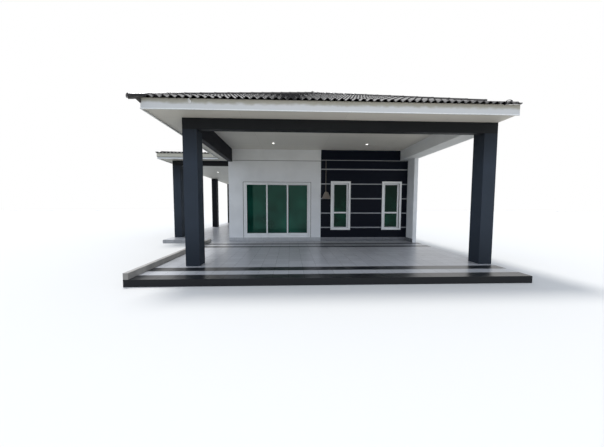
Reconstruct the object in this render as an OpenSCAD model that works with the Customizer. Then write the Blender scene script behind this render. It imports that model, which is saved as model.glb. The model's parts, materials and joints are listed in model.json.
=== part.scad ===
// Single-storey bungalow, the end house of a pair, with a deep columned porch in front,
// a covered terrace on its left side and a hipped tile roof. Millimetres, +Z up.
// The house faces -Y. The origin is on the ground, under the middle of the porch front.

/* [Plan] */
// Width of the house, from its left face to the party plane
body_w = 7600; // [6800:50:9000]
// Depth of the porch, from the column faces to the front wall
porch_d = 4500; // [3600:50:6000]
// Depth of the house behind its front wall
house_d = 12000; // [10500:100:15000]
// How far the porch floor runs out in front of the columns
apron_d = 1140; // [700:10:1600]
// How far the porch floor runs out to the left of the house, kerb included
side_walk_w = 770; // [500:10:1200]
// Width of the side terrace, from the house wall to the outer column faces
terrace_w = 2830; // [2200:10:3600]
// Distance from the front wall back to the first terrace column
terrace_setback = 1410; // [1150:10:2200]
// Length over the first two terrace columns
terrace_bay = 6235; // [4500:5:7000]
// How far the terrace floor shows in front of its columns
terrace_apron_d = 930; // [300:10:1100]
// How far the terrace floor runs past its columns on the other sides
terrace_edge = 100; // [0:10:300]

/* [Levels] */
// Height of the porch floor above the ground
porch_floor_h = 150; // [100:10:300]
// Height of the house floor above the porch floor
step_h = 150; // [50:10:200]
// Clear height from the porch floor to the underside of the beams
clear_h = 3240; // [2900:10:3800]
// Height of the eave soffit above the underside of the beams
soffit_rise = 260; // [150:10:350]
// Height of the porch ceiling above the underside of the beams
ceiling_rise = 500; // [450:10:505]
// Height of the band's underside on the white walls above the underside of the beams
band_rise = 60; // [0:5:120]
// Height of the party beam's underside above the underside of the other beams
party_beam_rise = 110; // [0:5:150]
// Height of the terrace beams' underside above the underside of the porch beams
terrace_beam_rise = 40; // [0:5:100]
// Height of the room ceiling above the house floor
room_h = 3300; // [2800:50:3400]

/* [Structure] */
// Width of the columns
column_w = 330; // [250:5:450]
// Depth of the columns, front to back
column_d = 390; // [250:5:450]
// Thickness of the beams
beam_t = 165; // [120:5:230]
// Thickness of the house walls, brick and plaster
wall_t = 150; // [120:5:200]
// Thickness of the party wall
party_wall_t = 150; // [120:5:200]
// Distance from the party plane in to the party wall
party_wall_inset = 50; // [0:5:80]
// Width of the beam over the party line
party_beam_w = 530; // [400:10:600]
// Distance from the party plane in to the party beam
party_beam_inset = 0; // [0:5:60]
// How far the party wall stands out in front of the front wall
fin_d = 600; // [300:10:900]
// How far the band at the head of the front wall stands proud
band_proud = 15; // [5:1:40]
// Height of the kerb beside the porch floor
kerb_h = 130; // [80:5:200]
// Thickness of the kerb
kerb_t = 100; // [60:5:150]
// Distance from the front wall forward to the far end of the kerb
kerb_stop = 250; // [0:10:600]

/* [Roof] */
// Pitch of the main roof in degrees
pitch = 24; // [20:0.5:30]
// Pitch of the terrace roof in degrees
terrace_pitch = 10; // [9:0.5:12]
// Thickness of the tiled roof, measured upright
roof_t = 45; // [30:1:80]
// How far the eaves stand out from the walls and columns
overhang = 600; // [400:10:800]
// How far the terrace eave stands out at its left side
terrace_side_overhang = 370; // [200:10:500]
// How far the tiles stand out past the fascia
tile_overhang = 45; // [20:1:70]
// Distance from the party plane in to the valley between the two roofs
valley_in = 350; // [200:10:400]
// Height of the fascia board
fascia_h = 230; // [150:5:260]
// How far the fascia board hangs below the soffit
fascia_drop = 30; // [0:5:50]
// Thickness of the fascia board
fascia_t = 25; // [15:1:40]
// Thickness of the ceiling and soffit boards
board_t = 12; // [6:1:20]
// Radius of the half-round hip caps
cap_r = 95; // [80:1:120]
// Radius of the ridge caps, which stand over the ends of the hip caps
ridge_cap_r = 105; // [90:1:140]
// Depth to which the caps are bedded into the tiles
cap_bed = 32; // [5:1:45]
// How far the hip caps run out past the corner of the eave
cap_run_out = 60; // [20:5:200]

/* [Sliding door] */
// Distance from the left end of the front wall to the door
door_x = 575; // [400:5:1200]
// Width of the door over its frame
door_w = 2785; // [2400:5:3000]
// Height of the door over its frame
door_h = 2285; // [2000:5:2500]
// Width of the door's jambs, seen from the front
jamb_w = 90; // [50:1:110]
// Height of the door's head
head_h = 60; // [45:1:90]
// Height of the door's sill without its rails
sill_h = 45; // [30:1:60]
// Height of the rails that stand on the sill
rail_h = 12; // [8:1:16]
// Thickness of the rails
rail_t = 6; // [4:1:10]
// Distance between the three tracks
track_pitch = 44; // [42:1:47]
// Thickness of the sliding panels
panel_t = 34; // [28:1:36]
// Width of the panels' stiles
stile_w = 55; // [45:1:90]
// Height of the panels' top rail
top_rail_h = 50; // [40:1:100]
// Height of the panels' bottom rail
bottom_rail_h = 112; // [80:1:150]
// Thickness of the glass
glass_t = 8; // [6:1:12]
// Clearance between a moving panel and what is beside it
run_gap = 6; // [5:0.5:10]
// Clearance between the rollers and their rail
roller_gap = 0.3; // [0.1:0.1:0.8]
// Width of the stops at the ends of the two outer tracks
stop_w = 30; // [10:5:60]
// Height of the stops
stop_h = 80; // [40:5:150]

/* [Windows] */
// Width of a window over its surround
window_w = 820; // [700:10:1000]
// Height of a window over its surround
window_h = 2010; // [1600:10:2200]
// Height of the window surround above the house floor
window_sill = 315; // [100:5:600]
// Width of the plaster surround
surround_w = 80; // [60:5:140]
// How far the surround stands proud of the wall
surround_proud = 35; // [15:1:60]
// Width of the window frame's side members
window_bar_w = 68; // [45:1:90]
// Height of the window frame's head
window_head_h = 55; // [30:1:90]
// Height of the window frame's foot
window_foot_h = 32; // [25:1:90]
// Depth of the window frame
window_frame_d = 60; // [45:1:80]
// Height of the window's lower light
lower_light_h = 573; // [400:1:800]
// Height of the transom between the two lights
transom_h = 60; // [30:1:80]

/* [Feature wall] */
// Width of the white wall between the door and the dark wall
middle_wall_w = 405; // [250:5:500]
// Distance from the left end of the dark wall to the middle of the first window
feature_window_x = 825; // [790:5:900]
// Distance from the middle of the second window to the party wall
feature_window_end = 660; // [550:5:800]
// Distance from the band at the head of the dark wall down to the first white line
line_drop = 365; // [200:5:420]
// Distance between the white lines
line_pitch = 600; // [500:5:650]
// Number of white lines
line_count = 5; // [2:1:5]
// Height of a white line
line_h = 42; // [20:1:80]
// How far the white lines stand proud of the wall
line_proud = 6; // [2:1:12]

/* [Lights] */
// Radius of a downlight's rim
downlight_r = 60; // [40:1:90]
// How far a downlight's rim hangs below the ceiling
downlight_drop = 8; // [4:1:15]
// Distance from either end of the terrace in to its downlight
terrace_light_in = 2280; // [1000:10:2700]
// Height of the wall lamp's lower rim above the house floor
lamp_z = 1600; // [1400:10:1900]
// Height of the lamp's shade
lamp_h = 270; // [180:5:320]
// Radius of the shade at its lower rim
lamp_r = 175; // [100:5:180]
// Radius of the shade at its neck
lamp_neck_r = 45; // [30:1:60]
// Radius of the conduit that feeds the lamp
conduit_r = 12; // [8:1:20]
// Gap between the conduit and the white lines that it crosses
conduit_gap = 0.3; // [0.1:0.1:2]

/* [Side and rear windows] */
// Number of windows in the rear wall
rear_windows = 3; // [1:1:4]
// Number of windows in the left wall
side_windows = 3; // [1:1:4]

/* [Hidden] */
// The order of the pieces is from the ground up
$fn = 48;

// Two solids that are cut from each other overlap by this much in the cutter only
cut = 10;
// Far enough below and beside the house for any cutter
far = 40000;

// Plan positions
left_x = -body_w / 2;
party_x = body_w / 2;
wall_y = porch_d;
rear_y = porch_d + house_d;
party_wall_x1 = party_x - party_wall_inset;
party_wall_x0 = party_wall_x1 - party_wall_t;
party_beam_x1 = party_x - party_beam_inset;
party_beam_x0 = party_beam_x1 - party_beam_w;
terrace_x = left_x - terrace_w;
terrace_y0 = wall_y + terrace_setback;
terrace_y1 = rear_y;
terrace_len = terrace_y1 - terrace_y0;
terrace_floor_y0 = terrace_y0 - terrace_apron_d;

// Levels
porch_z = porch_floor_h;
house_z = porch_z + step_h;
beam_z = porch_z + clear_h;
band_z = beam_z + band_rise;
party_beam_z = beam_z + party_beam_rise;
terrace_beam_z = beam_z + terrace_beam_rise;
soffit_z = beam_z + soffit_rise;
fascia_z = soffit_z - fascia_drop;
eave_z = fascia_z + fascia_h;
ceiling_z = beam_z + ceiling_rise;
room_ceiling_z = house_z + room_h;
wall_top_z = eave_z + overhang * tan(pitch);

// Main roof: the tile edges on four sides, the ridge and its height
tile_x0 = left_x - overhang - tile_overhang;
tile_x1 = party_x - valley_in;
tile_y0 = -overhang - tile_overhang;
tile_y1 = rear_y + overhang + tile_overhang;
tile_z = eave_z - tile_overhang * tan(pitch);
roof_run = (tile_x1 - tile_x0) / 2;
ridge_x = (tile_x0 + tile_x1) / 2;
ridge_y0 = tile_y0 + roof_run;
ridge_y1 = tile_y1 - roof_run;
ridge_z = tile_z + roof_run * tan(pitch);

// Terrace roof, whose left slope rises until it meets the main roof
terrace_tile_x = terrace_x - terrace_side_overhang - tile_overhang;
terrace_tile_y0 = terrace_y0 - overhang - tile_overhang;
terrace_tile_y1 = terrace_y1 + overhang + tile_overhang;
terrace_tile_z = eave_z - tile_overhang * tan(terrace_pitch);
terrace_run = (terrace_tile_y1 - terrace_tile_y0) / 2;
terrace_meet_x = (terrace_tile_z - tile_z + tile_x0 * tan(pitch) - terrace_tile_x * tan(terrace_pitch))
    / (tan(pitch) - tan(terrace_pitch));

// Sliding door: three panels on three tracks, counted from the outside
door_x0 = left_x + door_x;
door_x1 = door_x0 + door_w;
door_z1 = house_z + door_h;
panel_count = 3;
panel_room = door_w - 2 * jamb_w - 2 * run_gap;
panel_w = (panel_room + (panel_count - 1) * stile_w) / panel_count;
panel_step = panel_w - stile_w;
panel_z0 = house_z + sill_h + rail_h + run_gap;
panel_z1 = door_z1 - head_h - run_gap;

// Windows: the wall opening inside the surround
opening_w = window_w - 2 * surround_w;
opening_h = window_h - 2 * surround_w;
window_z0 = house_z + window_sill;
feature_x0 = door_x1 + middle_wall_w;
feature_windows = [feature_x0 + feature_window_x, party_wall_x0 - feature_window_end];
rear_window_x = [for (i = [1:rear_windows])
    left_x + (party_wall_x0 - left_x) * (2 * i - 1) / (2 * rear_windows)];
side_window_y = [for (i = [1:side_windows]) wall_y + house_d * (2 * i - 1) / (2 * side_windows)];

// Lights: porch downlights at the quarter points of its ceiling, two over the terrace
porch_ceiling_x0 = left_x + beam_t;
porch_lights = [for (i = [1, 3]) for (j = [1, 3]) [
    porch_ceiling_x0 + (party_beam_x0 - porch_ceiling_x0) * i / 4,
    beam_t + (wall_y - band_proud - beam_t) * j / 4]];
terrace_lights = [for (y = [terrace_y0 + terrace_light_in, terrace_y1 - terrace_light_in])
    [(terrace_x + left_x) / 2, y]];
lamp_x = (feature_x0 + feature_windows[0] - window_w / 2) / 2;
lamp_base_z = house_z + lamp_z;

wall_white = "#e9e9e6";
trim_white = "#f4f4f2";
charcoal = "#30363e";
navy = "#121720";
tile_brown = "#3c3836";
floor_grey = "#74777d";
glass_green = "#1d4a40";

// A box given by its lowest and its highest corner
module block(low, high) {
    translate(low) cube(high - low);
}

// A prism whose outline is drawn in X and Z and runs along Y
module along_y(outline, y0, y1) {
    translate([0, y1, 0]) rotate([90, 0, 0]) linear_extrude(y1 - y0) polygon(outline);
}

// A prism whose outline is drawn in Y and Z and runs along X
module along_x(outline, x0, x1) {
    translate([x0, 0, 0]) rotate([90, 0, 90]) linear_extrude(x1 - x0) polygon(outline);
}

// All that lies under the main roof, which is lifted by the given amount. Past the valley
// the roof of the next house begins to rise, and it is kept as far as the party plane.
module main_roof_volume(lift) {
    z = tile_z + lift;
    top = ridge_z + lift;
    strip_z = z + (party_x - tile_x1) * tan(pitch);
    intersection() {
        along_y([[tile_x0, 0], [tile_x0, z], [ridge_x, top], [tile_x1, z],
                 [party_x, strip_z], [party_x, 0]], tile_y0, tile_y1);
        along_x([[tile_y0, 0], [tile_y0, z], [ridge_y0, top], [ridge_y1, top],
                 [tile_y1, z], [tile_y1, 0]], tile_x0, party_x);
    }
}

// All that lies under the low roof of the terrace, which slopes down to three sides
module terrace_roof_volume(lift) {
    z = terrace_tile_z + lift;
    left_top = z + (ridge_x - terrace_tile_x) * tan(terrace_pitch);
    top = z + terrace_run * tan(terrace_pitch);
    intersection() {
        along_y([[terrace_tile_x, 0], [terrace_tile_x, z], [ridge_x, left_top], [ridge_x, 0]],
                terrace_tile_y0, terrace_tile_y1);
        along_x([[terrace_tile_y0, 0], [terrace_tile_y0, z], [terrace_tile_y0 + terrace_run, top],
                 [terrace_tile_y1, z], [terrace_tile_y1, 0]], terrace_tile_x, ridge_x);
    }
}

// All that the terrace roof's tiles cover, as far as the rear hip of the main roof
module terrace_roof_cover() {
    difference() {
        terrace_roof_volume(roof_t);
        linear_extrude(far)
            polygon([[tile_x0, tile_y1], [ridge_x, ridge_y1], [ridge_x, tile_y1 + cut]]);
    }
}

// Cuts its children off at the underside of the main roof
module under_main_roof() {
    intersection() {
        children();
        main_roof_volume(0);
    }
}

// Cuts its children off at the underside of whichever roof is lower over the terrace
module under_terrace_roof() {
    intersection() {
        children();
        terrace_roof_volume(0);
        union() {
            main_roof_volume(0);
            block([terrace_tile_x - cut, terrace_tile_y0 - cut, 0],
                  [tile_x0, terrace_tile_y1 + cut, far]);
        }
    }
}

// The main roof's own thickness
module main_roof_slab() {
    difference() {
        main_roof_volume(roof_t);
        main_roof_volume(0);
    }
}

// The part of the main roof that lies over a plan outline
module roof_slope(outline) {
    color(tile_brown) intersection() {
        main_roof_slab();
        linear_extrude(far) polygon(outline);
    }
}

// Floors
module porch_floor() {
    color(floor_grey) linear_extrude(porch_floor_h) polygon([
        [left_x - side_walk_w, -apron_d], [party_x, -apron_d], [party_x, wall_y],
        [left_x, wall_y], [left_x, terrace_floor_y0], [left_x - side_walk_w, terrace_floor_y0]]);
}

module porch_kerb() {
    x0 = left_x - side_walk_w;
    color("#b9b8b2") block([x0, -apron_d, porch_z],
                           [x0 + kerb_t, wall_y - kerb_stop, porch_z + kerb_h]);
}

module terrace_floor() {
    color(floor_grey) block([terrace_x - terrace_edge, terrace_floor_y0, 0],
                            [left_x, terrace_y1 + terrace_edge, porch_floor_h]);
}

// The house floor fills the walls and comes forward under the door as its threshold
module house_floor() {
    color("#d5d1c6") union() {
        block([left_x + wall_t, wall_y + wall_t, 0], [party_wall_x0, rear_y - wall_t, house_z]);
        block([door_x0, wall_y, 0], [door_x1, wall_y + wall_t + cut, house_z]);
    }
}

// Columns
module column(x, y, z1) {
    color(charcoal) block([x, y, porch_z], [x + column_w, y + column_d, z1]);
}

module porch_column() { column(left_x, 0, beam_z); }

// The party beam lies a little higher than the front beam, so the column steps up to it
module party_column() {
    color(charcoal) union() {
        column(party_x - column_w, 0, beam_z);
        block([party_x - column_w, beam_t, beam_z - cut],
              [party_beam_x1, column_d, party_beam_z]);
    }
}

module terrace_column(y) { column(terrace_x, y, terrace_beam_z); }

module terrace_front_column() { terrace_column(terrace_y0); }

module terrace_middle_column() { terrace_column(terrace_y0 + terrace_bay - column_d); }

module terrace_back_column() { terrace_column(terrace_y1 - column_d); }

// Beams
module porch_front_beam() {
    color(charcoal) under_main_roof()
        block([left_x, 0, beam_z], [party_x, beam_t, wall_top_z]);
}

module porch_side_beam() {
    color(charcoal) block([left_x, beam_t, beam_z], [left_x + beam_t, wall_y, wall_top_z]);
}

module party_beam() {
    color(wall_white) under_main_roof()
        block([party_beam_x0, beam_t, party_beam_z], [party_beam_x1, wall_y, wall_top_z]);
}

module terrace_front_beam() {
    color(charcoal) under_terrace_roof()
        block([terrace_x, terrace_y0, terrace_beam_z],
              [left_x, terrace_y0 + beam_t, wall_top_z]);
}

// The beams along the terrace's open sides, over its ceiling board
module terrace_edge_beam() {
    z0 = terrace_beam_z + board_t;
    color(charcoal) under_terrace_roof() union() {
        block([terrace_x, terrace_y0 + beam_t, z0], [terrace_x + beam_t, terrace_y1, wall_top_z]);
        block([terrace_x, terrace_y1 - beam_t, z0], [left_x, terrace_y1, wall_top_z]);
    }
}

// Walls. Each piece of the front wall carries its length of the band at the head, which
// runs between the beams and lies a little higher on the dark wall.
module front_wall_piece(x0, x1, z0, head_z = band_z) {
    band_x0 = max(x0, left_x + beam_t);
    band_x1 = min(x1, party_beam_x0);
    under_main_roof() union() {
        block([x0, wall_y, z0], [x1, wall_y + wall_t, wall_top_z]);
        block([band_x0, wall_y - band_proud, head_z], [band_x1, wall_y + cut, ceiling_z]);
    }
}

// The hole for one window through a wall that faces -Y, centred on x = 0
module window_hole() {
    block([-opening_w / 2, -cut, window_z0 + surround_w],
          [opening_w / 2, wall_t + cut, window_z0 + surround_w + opening_h]);
}

module at_front_windows() {
    for (x = feature_windows) translate([x, wall_y, 0]) children();
}

module at_rear_windows() {
    for (x = rear_window_x) translate([x, rear_y, 0]) rotate([0, 0, 180]) children();
}

module at_side_windows() {
    for (y = side_window_y) translate([left_x, y, 0]) rotate([0, 0, -90]) children();
}

module at_all_windows() {
    at_front_windows() children();
    at_rear_windows() children();
    at_side_windows() children();
}

module front_wall_left() {
    color(wall_white) front_wall_piece(left_x, door_x0, 0);
}

module front_wall_over_door() {
    color(wall_white) front_wall_piece(door_x0, door_x1, door_z1);
}

module front_wall_middle() {
    color(wall_white) front_wall_piece(door_x1, feature_x0, 0);
}

module feature_wall() {
    color(navy) difference() {
        front_wall_piece(feature_x0, party_wall_x0, 0, party_beam_z);
        at_front_windows() window_hole();
    }
}

module left_wall() {
    color(wall_white) difference() {
        block([left_x, wall_y + wall_t, 0], [left_x + wall_t, rear_y - wall_t, wall_top_z]);
        at_side_windows() window_hole();
    }
}

module rear_wall() {
    color(wall_white) difference() {
        under_main_roof()
            block([left_x, rear_y - wall_t, 0], [party_wall_x0, rear_y, wall_top_z]);
        at_rear_windows() window_hole();
    }
}

// The party wall comes forward as a fin under the party beam
module party_wall() {
    color(wall_white) under_main_roof() union() {
        block([party_wall_x0, wall_y, 0], [party_wall_x1, rear_y, wall_top_z]);
        block([party_wall_x0, wall_y - fin_d, porch_z],
              [party_wall_x1, wall_y + cut, party_beam_z]);
    }
}

// Windows
module window_surrounds() {
    color(trim_white) at_all_windows() difference() {
        block([-window_w / 2, -surround_proud, window_z0], [window_w / 2, 0, window_z0 + window_h]);
        window_hole();
        translate([0, -surround_proud, 0]) window_hole();
    }
}

module window_frames() {
    z0 = window_z0 + surround_w;
    z1 = z0 + opening_h;
    foot_z = z0 + window_foot_h;
    transom_z = foot_z + lower_light_h;
    y0 = (wall_t - window_frame_d) / 2;
    inner_w = opening_w - 2 * window_bar_w;
    color("white") at_all_windows() difference() {
        block([-opening_w / 2, y0, z0], [opening_w / 2, y0 + window_frame_d, z1]);
        block([-inner_w / 2, y0 - cut, foot_z],
              [inner_w / 2, y0 + window_frame_d + cut, transom_z]);
        block([-inner_w / 2, y0 - cut, transom_z + transom_h],
              [inner_w / 2, y0 + window_frame_d + cut, z1 - window_head_h]);
    }
}

// The panes fit between the bars face to face, one in each light
module window_glass() {
    z0 = window_z0 + surround_w + window_foot_h;
    z1 = window_z0 + surround_w + opening_h - window_head_h;
    y0 = (wall_t - glass_t) / 2;
    inner_w = opening_w - 2 * window_bar_w;
    color(glass_green) at_all_windows() {
        block([-inner_w / 2, y0, z0], [inner_w / 2, y0 + glass_t, z0 + lower_light_h]);
        block([-inner_w / 2, y0, z0 + lower_light_h + transom_h],
              [inner_w / 2, y0 + glass_t, z1]);
    }
}

// White lines across the dark wall, which stop at the window surrounds
module feature_lines() {
    top_line_z = party_beam_z - line_drop - line_h;
    color(trim_white) difference() {
        for (i = [0:line_count - 1])
            translate([feature_x0, wall_y - line_proud, top_line_z - i * line_pitch])
                cube([party_wall_x0 - feature_x0, line_proud, line_h]);
        at_front_windows() block([-window_w / 2, -surround_proud, window_z0],
                                 [window_w / 2, cut, window_z0 + window_h]);
    }
}

// Sliding door. Track 0 is the outer one.
function track_y(i) = wall_y + wall_t / 2 + (i - 1) * track_pitch;

// The stops at the right jamb halt the left panel and the middle panel on their tracks
module door_frame() {
    y0 = wall_y + (wall_t - panel_count * track_pitch) / 2;
    y1 = y0 + panel_count * track_pitch;
    stop_x = door_x1 - jamb_w - stop_w;
    stop_z = door_z1 - head_h - stop_h;
    color("white") union() {
        difference() {
            block([door_x0, y0, house_z], [door_x1, y1, door_z1]);
            block([door_x0 + jamb_w, y0 - cut, house_z + sill_h],
                  [door_x1 - jamb_w, y1 + cut, door_z1 - head_h]);
        }
        for (i = [0:panel_count - 2])
            block([stop_x, track_y(i) - panel_t / 2, stop_z],
                  [stop_x + stop_w + cut, track_y(i) + panel_t / 2, door_z1 - head_h + cut]);
        for (i = [0:panel_count - 1])
            translate([door_x0 + jamb_w - cut, track_y(i) - rail_t / 2, house_z + sill_h - cut])
                cube([door_w - 2 * jamb_w + 2 * cut, rail_t, rail_h + cut]);
    }
}

// A glazed panel on its track, with two rollers under it that run on the rail
module door_panel(i) {
    x0 = door_x0 + jamb_w + run_gap + i * panel_step;
    y0 = track_y(i) - panel_t / 2;
    rail_z = house_z + sill_h + rail_h + roller_gap;
    roller_w = panel_w / 8;
    color("white") union() {
        difference() {
            block([x0, y0, panel_z0], [x0 + panel_w, y0 + panel_t, panel_z1]);
            block([x0 + stile_w, y0 - cut, panel_z0 + bottom_rail_h],
                  [x0 + panel_w - stile_w, y0 + panel_t + cut, panel_z1 - top_rail_h]);
        }
        for (x = [x0 + stile_w, x0 + panel_w - stile_w - roller_w])
            block([x, y0 + panel_t / 4, rail_z],
                  [x + roller_w, y0 + panel_t * 3 / 4, panel_z0 + cut]);
    }
}

module door_pane(i) {
    x0 = door_x0 + jamb_w + run_gap + i * panel_step + stile_w;
    y0 = track_y(i) - glass_t / 2;
    color(glass_green) block([x0, y0, panel_z0 + bottom_rail_h],
        [x0 + panel_w - 2 * stile_w, y0 + glass_t, panel_z1 - top_rail_h]);
}

// Ceilings and soffits
module porch_ceiling() {
    color(wall_white) under_main_roof()
        block([left_x + beam_t, beam_t, ceiling_z], [party_beam_x0, wall_y, ceiling_z + board_t]);
}

module terrace_ceiling() {
    color(wall_white) block([terrace_x, terrace_y0 + beam_t, terrace_beam_z],
                            [left_x, terrace_y1, terrace_beam_z + board_t]);
}

module room_ceiling() {
    color(wall_white) block([left_x + wall_t, wall_y + wall_t, room_ceiling_z],
                            [party_wall_x0, rear_y - wall_t, room_ceiling_z + board_t]);
}

// The plan inside a line that lies the given distance in from the fascia's outer face
module eave_plan(inset) {
    translate([left_x - overhang + inset, -overhang + inset])
        square([party_x - left_x + overhang - inset, rear_y + 2 * (overhang - inset)]);
    translate([terrace_x - terrace_side_overhang + inset, terrace_y0 - overhang + inset])
        square([terrace_w + terrace_side_overhang, terrace_len + 2 * (overhang - inset)]);
}

module footprint() {
    translate([left_x, 0]) square([party_x - left_x, rear_y]);
    translate([terrace_x, terrace_y0]) square([terrace_w, terrace_len]);
}

module eave_soffit() {
    color(wall_white) translate([0, 0, soffit_z]) linear_extrude(board_t) difference() {
        eave_plan(fascia_t);
        footprint();
    }
}

// The boards are notched where the edges of the main roof's tiles dip below their tops:
// over the terrace's boards and at the valley
module eave_fascia() {
    color(trim_white) difference() {
        translate([0, 0, fascia_z]) linear_extrude(fascia_h) difference() {
            eave_plan(0);
            eave_plan(fascia_t);
        }
        intersection() {
            main_roof_slab();
            union() {
                block([tile_x0 - cut, wall_y, 0], [left_x - overhang, tile_y1 + cut, far]);
                block([tile_x1 - tile_overhang, tile_y0 - cut, 0],
                      [tile_x1 + tile_overhang, tile_y1 + cut, far]);
            }
        }
    }
}

// Roof
module roof_front_slope() {
    roof_slope([[tile_x0, tile_y0], [tile_x1, tile_y0], [ridge_x, ridge_y0]]);
}

module roof_rear_slope() {
    roof_slope([[tile_x0, tile_y1], [ridge_x, ridge_y1], [tile_x1, tile_y1]]);
}

module roof_left_slope() {
    roof_slope([[tile_x0, tile_y0], [ridge_x, ridge_y0], [ridge_x, ridge_y1], [tile_x0, tile_y1]]);
}

// The right slope runs down to the valley, and the strip past it is part of the next roof
module roof_right_slope() {
    roof_slope([[tile_x1, tile_y0], [party_x, tile_y0], [party_x, tile_y1], [tile_x1, tile_y1],
                [ridge_x, ridge_y1], [ridge_x, ridge_y0]]);
}

module terrace_roof() {
    color(tile_brown) difference() {
        terrace_roof_cover();
        terrace_roof_volume(0);
        main_roof_volume(roof_t);
    }
}

// A half-round cap from one point to another, bedded on the roof's own surface
module cap_run(from, to, radius = cap_r) {
    d = to - from;
    length = norm(d);
    translate(from) rotate([0, acos(d[2] / length), atan2(d[1], d[0])])
        cylinder(r = radius, h = length);
}

// The height of a cap's axis above the underside of the roof
cap_lift = roof_t - cap_bed;

module hip_caps() {
    z = tile_z + cap_lift;
    out = cap_run_out;
    drop = out * tan(pitch);
    top = [ridge_x, ridge_y0, ridge_z + cap_lift];
    rear_top = [ridge_x, ridge_y1, ridge_z + cap_lift];
    strip = party_x - tile_x1;
    strip_top = z + strip * tan(pitch);
    color(tile_brown) difference() {
        union() {
            cap_run([tile_x0 - out, tile_y0 - out, z - drop], top);
            cap_run([tile_x1, tile_y0, z], top);
            cap_run([tile_x0 - out, tile_y1 + out, z - drop], rear_top);
            cap_run([tile_x1, tile_y1, z], rear_top);
            cap_run([tile_x1, tile_y0, z], [party_x, tile_y0 + strip, strip_top]);
            cap_run([tile_x1, tile_y1, z], [party_x, tile_y1 - strip, strip_top]);
        }
        main_roof_volume(roof_t);
        terrace_roof_cover();
        block([ridge_x - far, ridge_y0, 0], [ridge_x + far, ridge_y1, far]);
        block([party_x, tile_y0 - far, 0], [party_x + far, tile_y1 + far, far]);
    }
}

module ridge_cap() {
    z = ridge_z + cap_lift;
    color(tile_brown) difference() {
        cap_run([ridge_x, ridge_y0, z], [ridge_x, ridge_y1, z], ridge_cap_r);
        main_roof_volume(roof_t);
    }
}

// The caps on the terrace's two hips run on until they are inside the main roof
module terrace_hip_caps() {
    z = terrace_tile_z + cap_lift;
    run = terrace_meet_x - terrace_tile_x + 6 * cap_r;
    top = [terrace_tile_x + run, z + run * tan(terrace_pitch)];
    color(tile_brown) difference() {
        union() {
            cap_run([terrace_tile_x, terrace_tile_y0, z],
                    [top[0], terrace_tile_y0 + run, top[1]]);
            cap_run([terrace_tile_x, terrace_tile_y1, z],
                    [top[0], terrace_tile_y1 - run, top[1]]);
        }
        terrace_roof_volume(roof_t);
        main_roof_volume(roof_t);
    }
}

// Lights
module wall_lamp() {
    shade_t = 4;
    shade_y = wall_y - lamp_r - line_proud - conduit_gap;
    arm_z = lamp_base_z + lamp_h - conduit_r;
    color("#b98a63") union() {
        translate([lamp_x, shade_y, lamp_base_z]) rotate_extrude() polygon([
            [lamp_r - shade_t, 0], [lamp_r, 0], [lamp_neck_r, lamp_h], [0, lamp_h],
            [0, lamp_h - shade_t], [lamp_neck_r - shade_t, lamp_h - shade_t]]);
        translate([lamp_x, wall_y, arm_z]) rotate([90, 0, 0])
            cylinder(r = conduit_r, h = wall_y - shade_y);
        translate([lamp_x, wall_y - line_proud - conduit_gap - conduit_r, arm_z])
            cylinder(r = conduit_r, h = party_beam_z - arm_z);
    }
}

module downlights() {
    color("white") {
        for (p = porch_lights) translate([p[0], p[1], ceiling_z - downlight_drop])
            cylinder(r = downlight_r, h = downlight_drop);
        for (p = terrace_lights) translate([p[0], p[1], terrace_beam_z - downlight_drop])
            cylinder(r = downlight_r, h = downlight_drop);
    }
}

porch_floor();
porch_kerb();
terrace_floor();
house_floor();
porch_column();
party_column();
terrace_front_column();
terrace_middle_column();
terrace_back_column();
porch_front_beam();
porch_side_beam();
party_beam();
terrace_front_beam();
terrace_edge_beam();
front_wall_left();
front_wall_over_door();
front_wall_middle();
feature_wall();
left_wall();
rear_wall();
party_wall();
window_surrounds();
window_frames();
window_glass();
feature_lines();
door_frame();
door_panel(0);  // door_left_panel
door_pane(0);  // door_left_glass
door_panel(1);  // door_middle_panel
door_pane(1);  // door_middle_glass
door_panel(2);  // door_right_panel
door_pane(2);  // door_right_glass
porch_ceiling();
terrace_ceiling();
room_ceiling();
eave_soffit();
eave_fascia();
roof_front_slope();
roof_left_slope();
roof_right_slope();
roof_rear_slope();
terrace_roof();
hip_caps();
ridge_cap();
terrace_hip_caps();
wall_lamp();
downlights();
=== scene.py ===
"""Roof tiles, fittings, finishes and studio of a single-storey bungalow with a columned porch."""
import json
import math

import bmesh
import bpy
from bpy.props import FloatProperty, FloatVectorProperty, StringProperty
from mathutils import Matrix, Vector


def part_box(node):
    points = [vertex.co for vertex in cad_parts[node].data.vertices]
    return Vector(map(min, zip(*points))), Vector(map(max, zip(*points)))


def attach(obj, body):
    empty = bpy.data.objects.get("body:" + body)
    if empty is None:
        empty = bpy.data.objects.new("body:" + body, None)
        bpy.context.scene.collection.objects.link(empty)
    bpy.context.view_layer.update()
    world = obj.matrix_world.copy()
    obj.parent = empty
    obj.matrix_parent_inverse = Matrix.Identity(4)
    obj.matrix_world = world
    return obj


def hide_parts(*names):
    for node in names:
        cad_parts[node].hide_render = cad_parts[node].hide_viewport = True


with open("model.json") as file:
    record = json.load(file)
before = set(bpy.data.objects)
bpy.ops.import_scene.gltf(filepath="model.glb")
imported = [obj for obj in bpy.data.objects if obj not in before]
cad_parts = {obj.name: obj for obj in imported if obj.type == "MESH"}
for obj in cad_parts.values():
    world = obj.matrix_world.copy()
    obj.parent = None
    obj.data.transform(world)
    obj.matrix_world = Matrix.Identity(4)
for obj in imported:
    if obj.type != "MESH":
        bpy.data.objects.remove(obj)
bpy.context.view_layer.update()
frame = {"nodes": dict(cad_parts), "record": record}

bl_info = {
    "name": "Bungalow finishes",
    "version": (1, 0, 0),
    "blender": (4, 5, 0),
    "location": "View3D > Sidebar > Bungalow",
    "description": "Adds the roof tiles, fittings, finishes and studio of a bungalow",
    "category": "Add Mesh",
}

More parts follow.
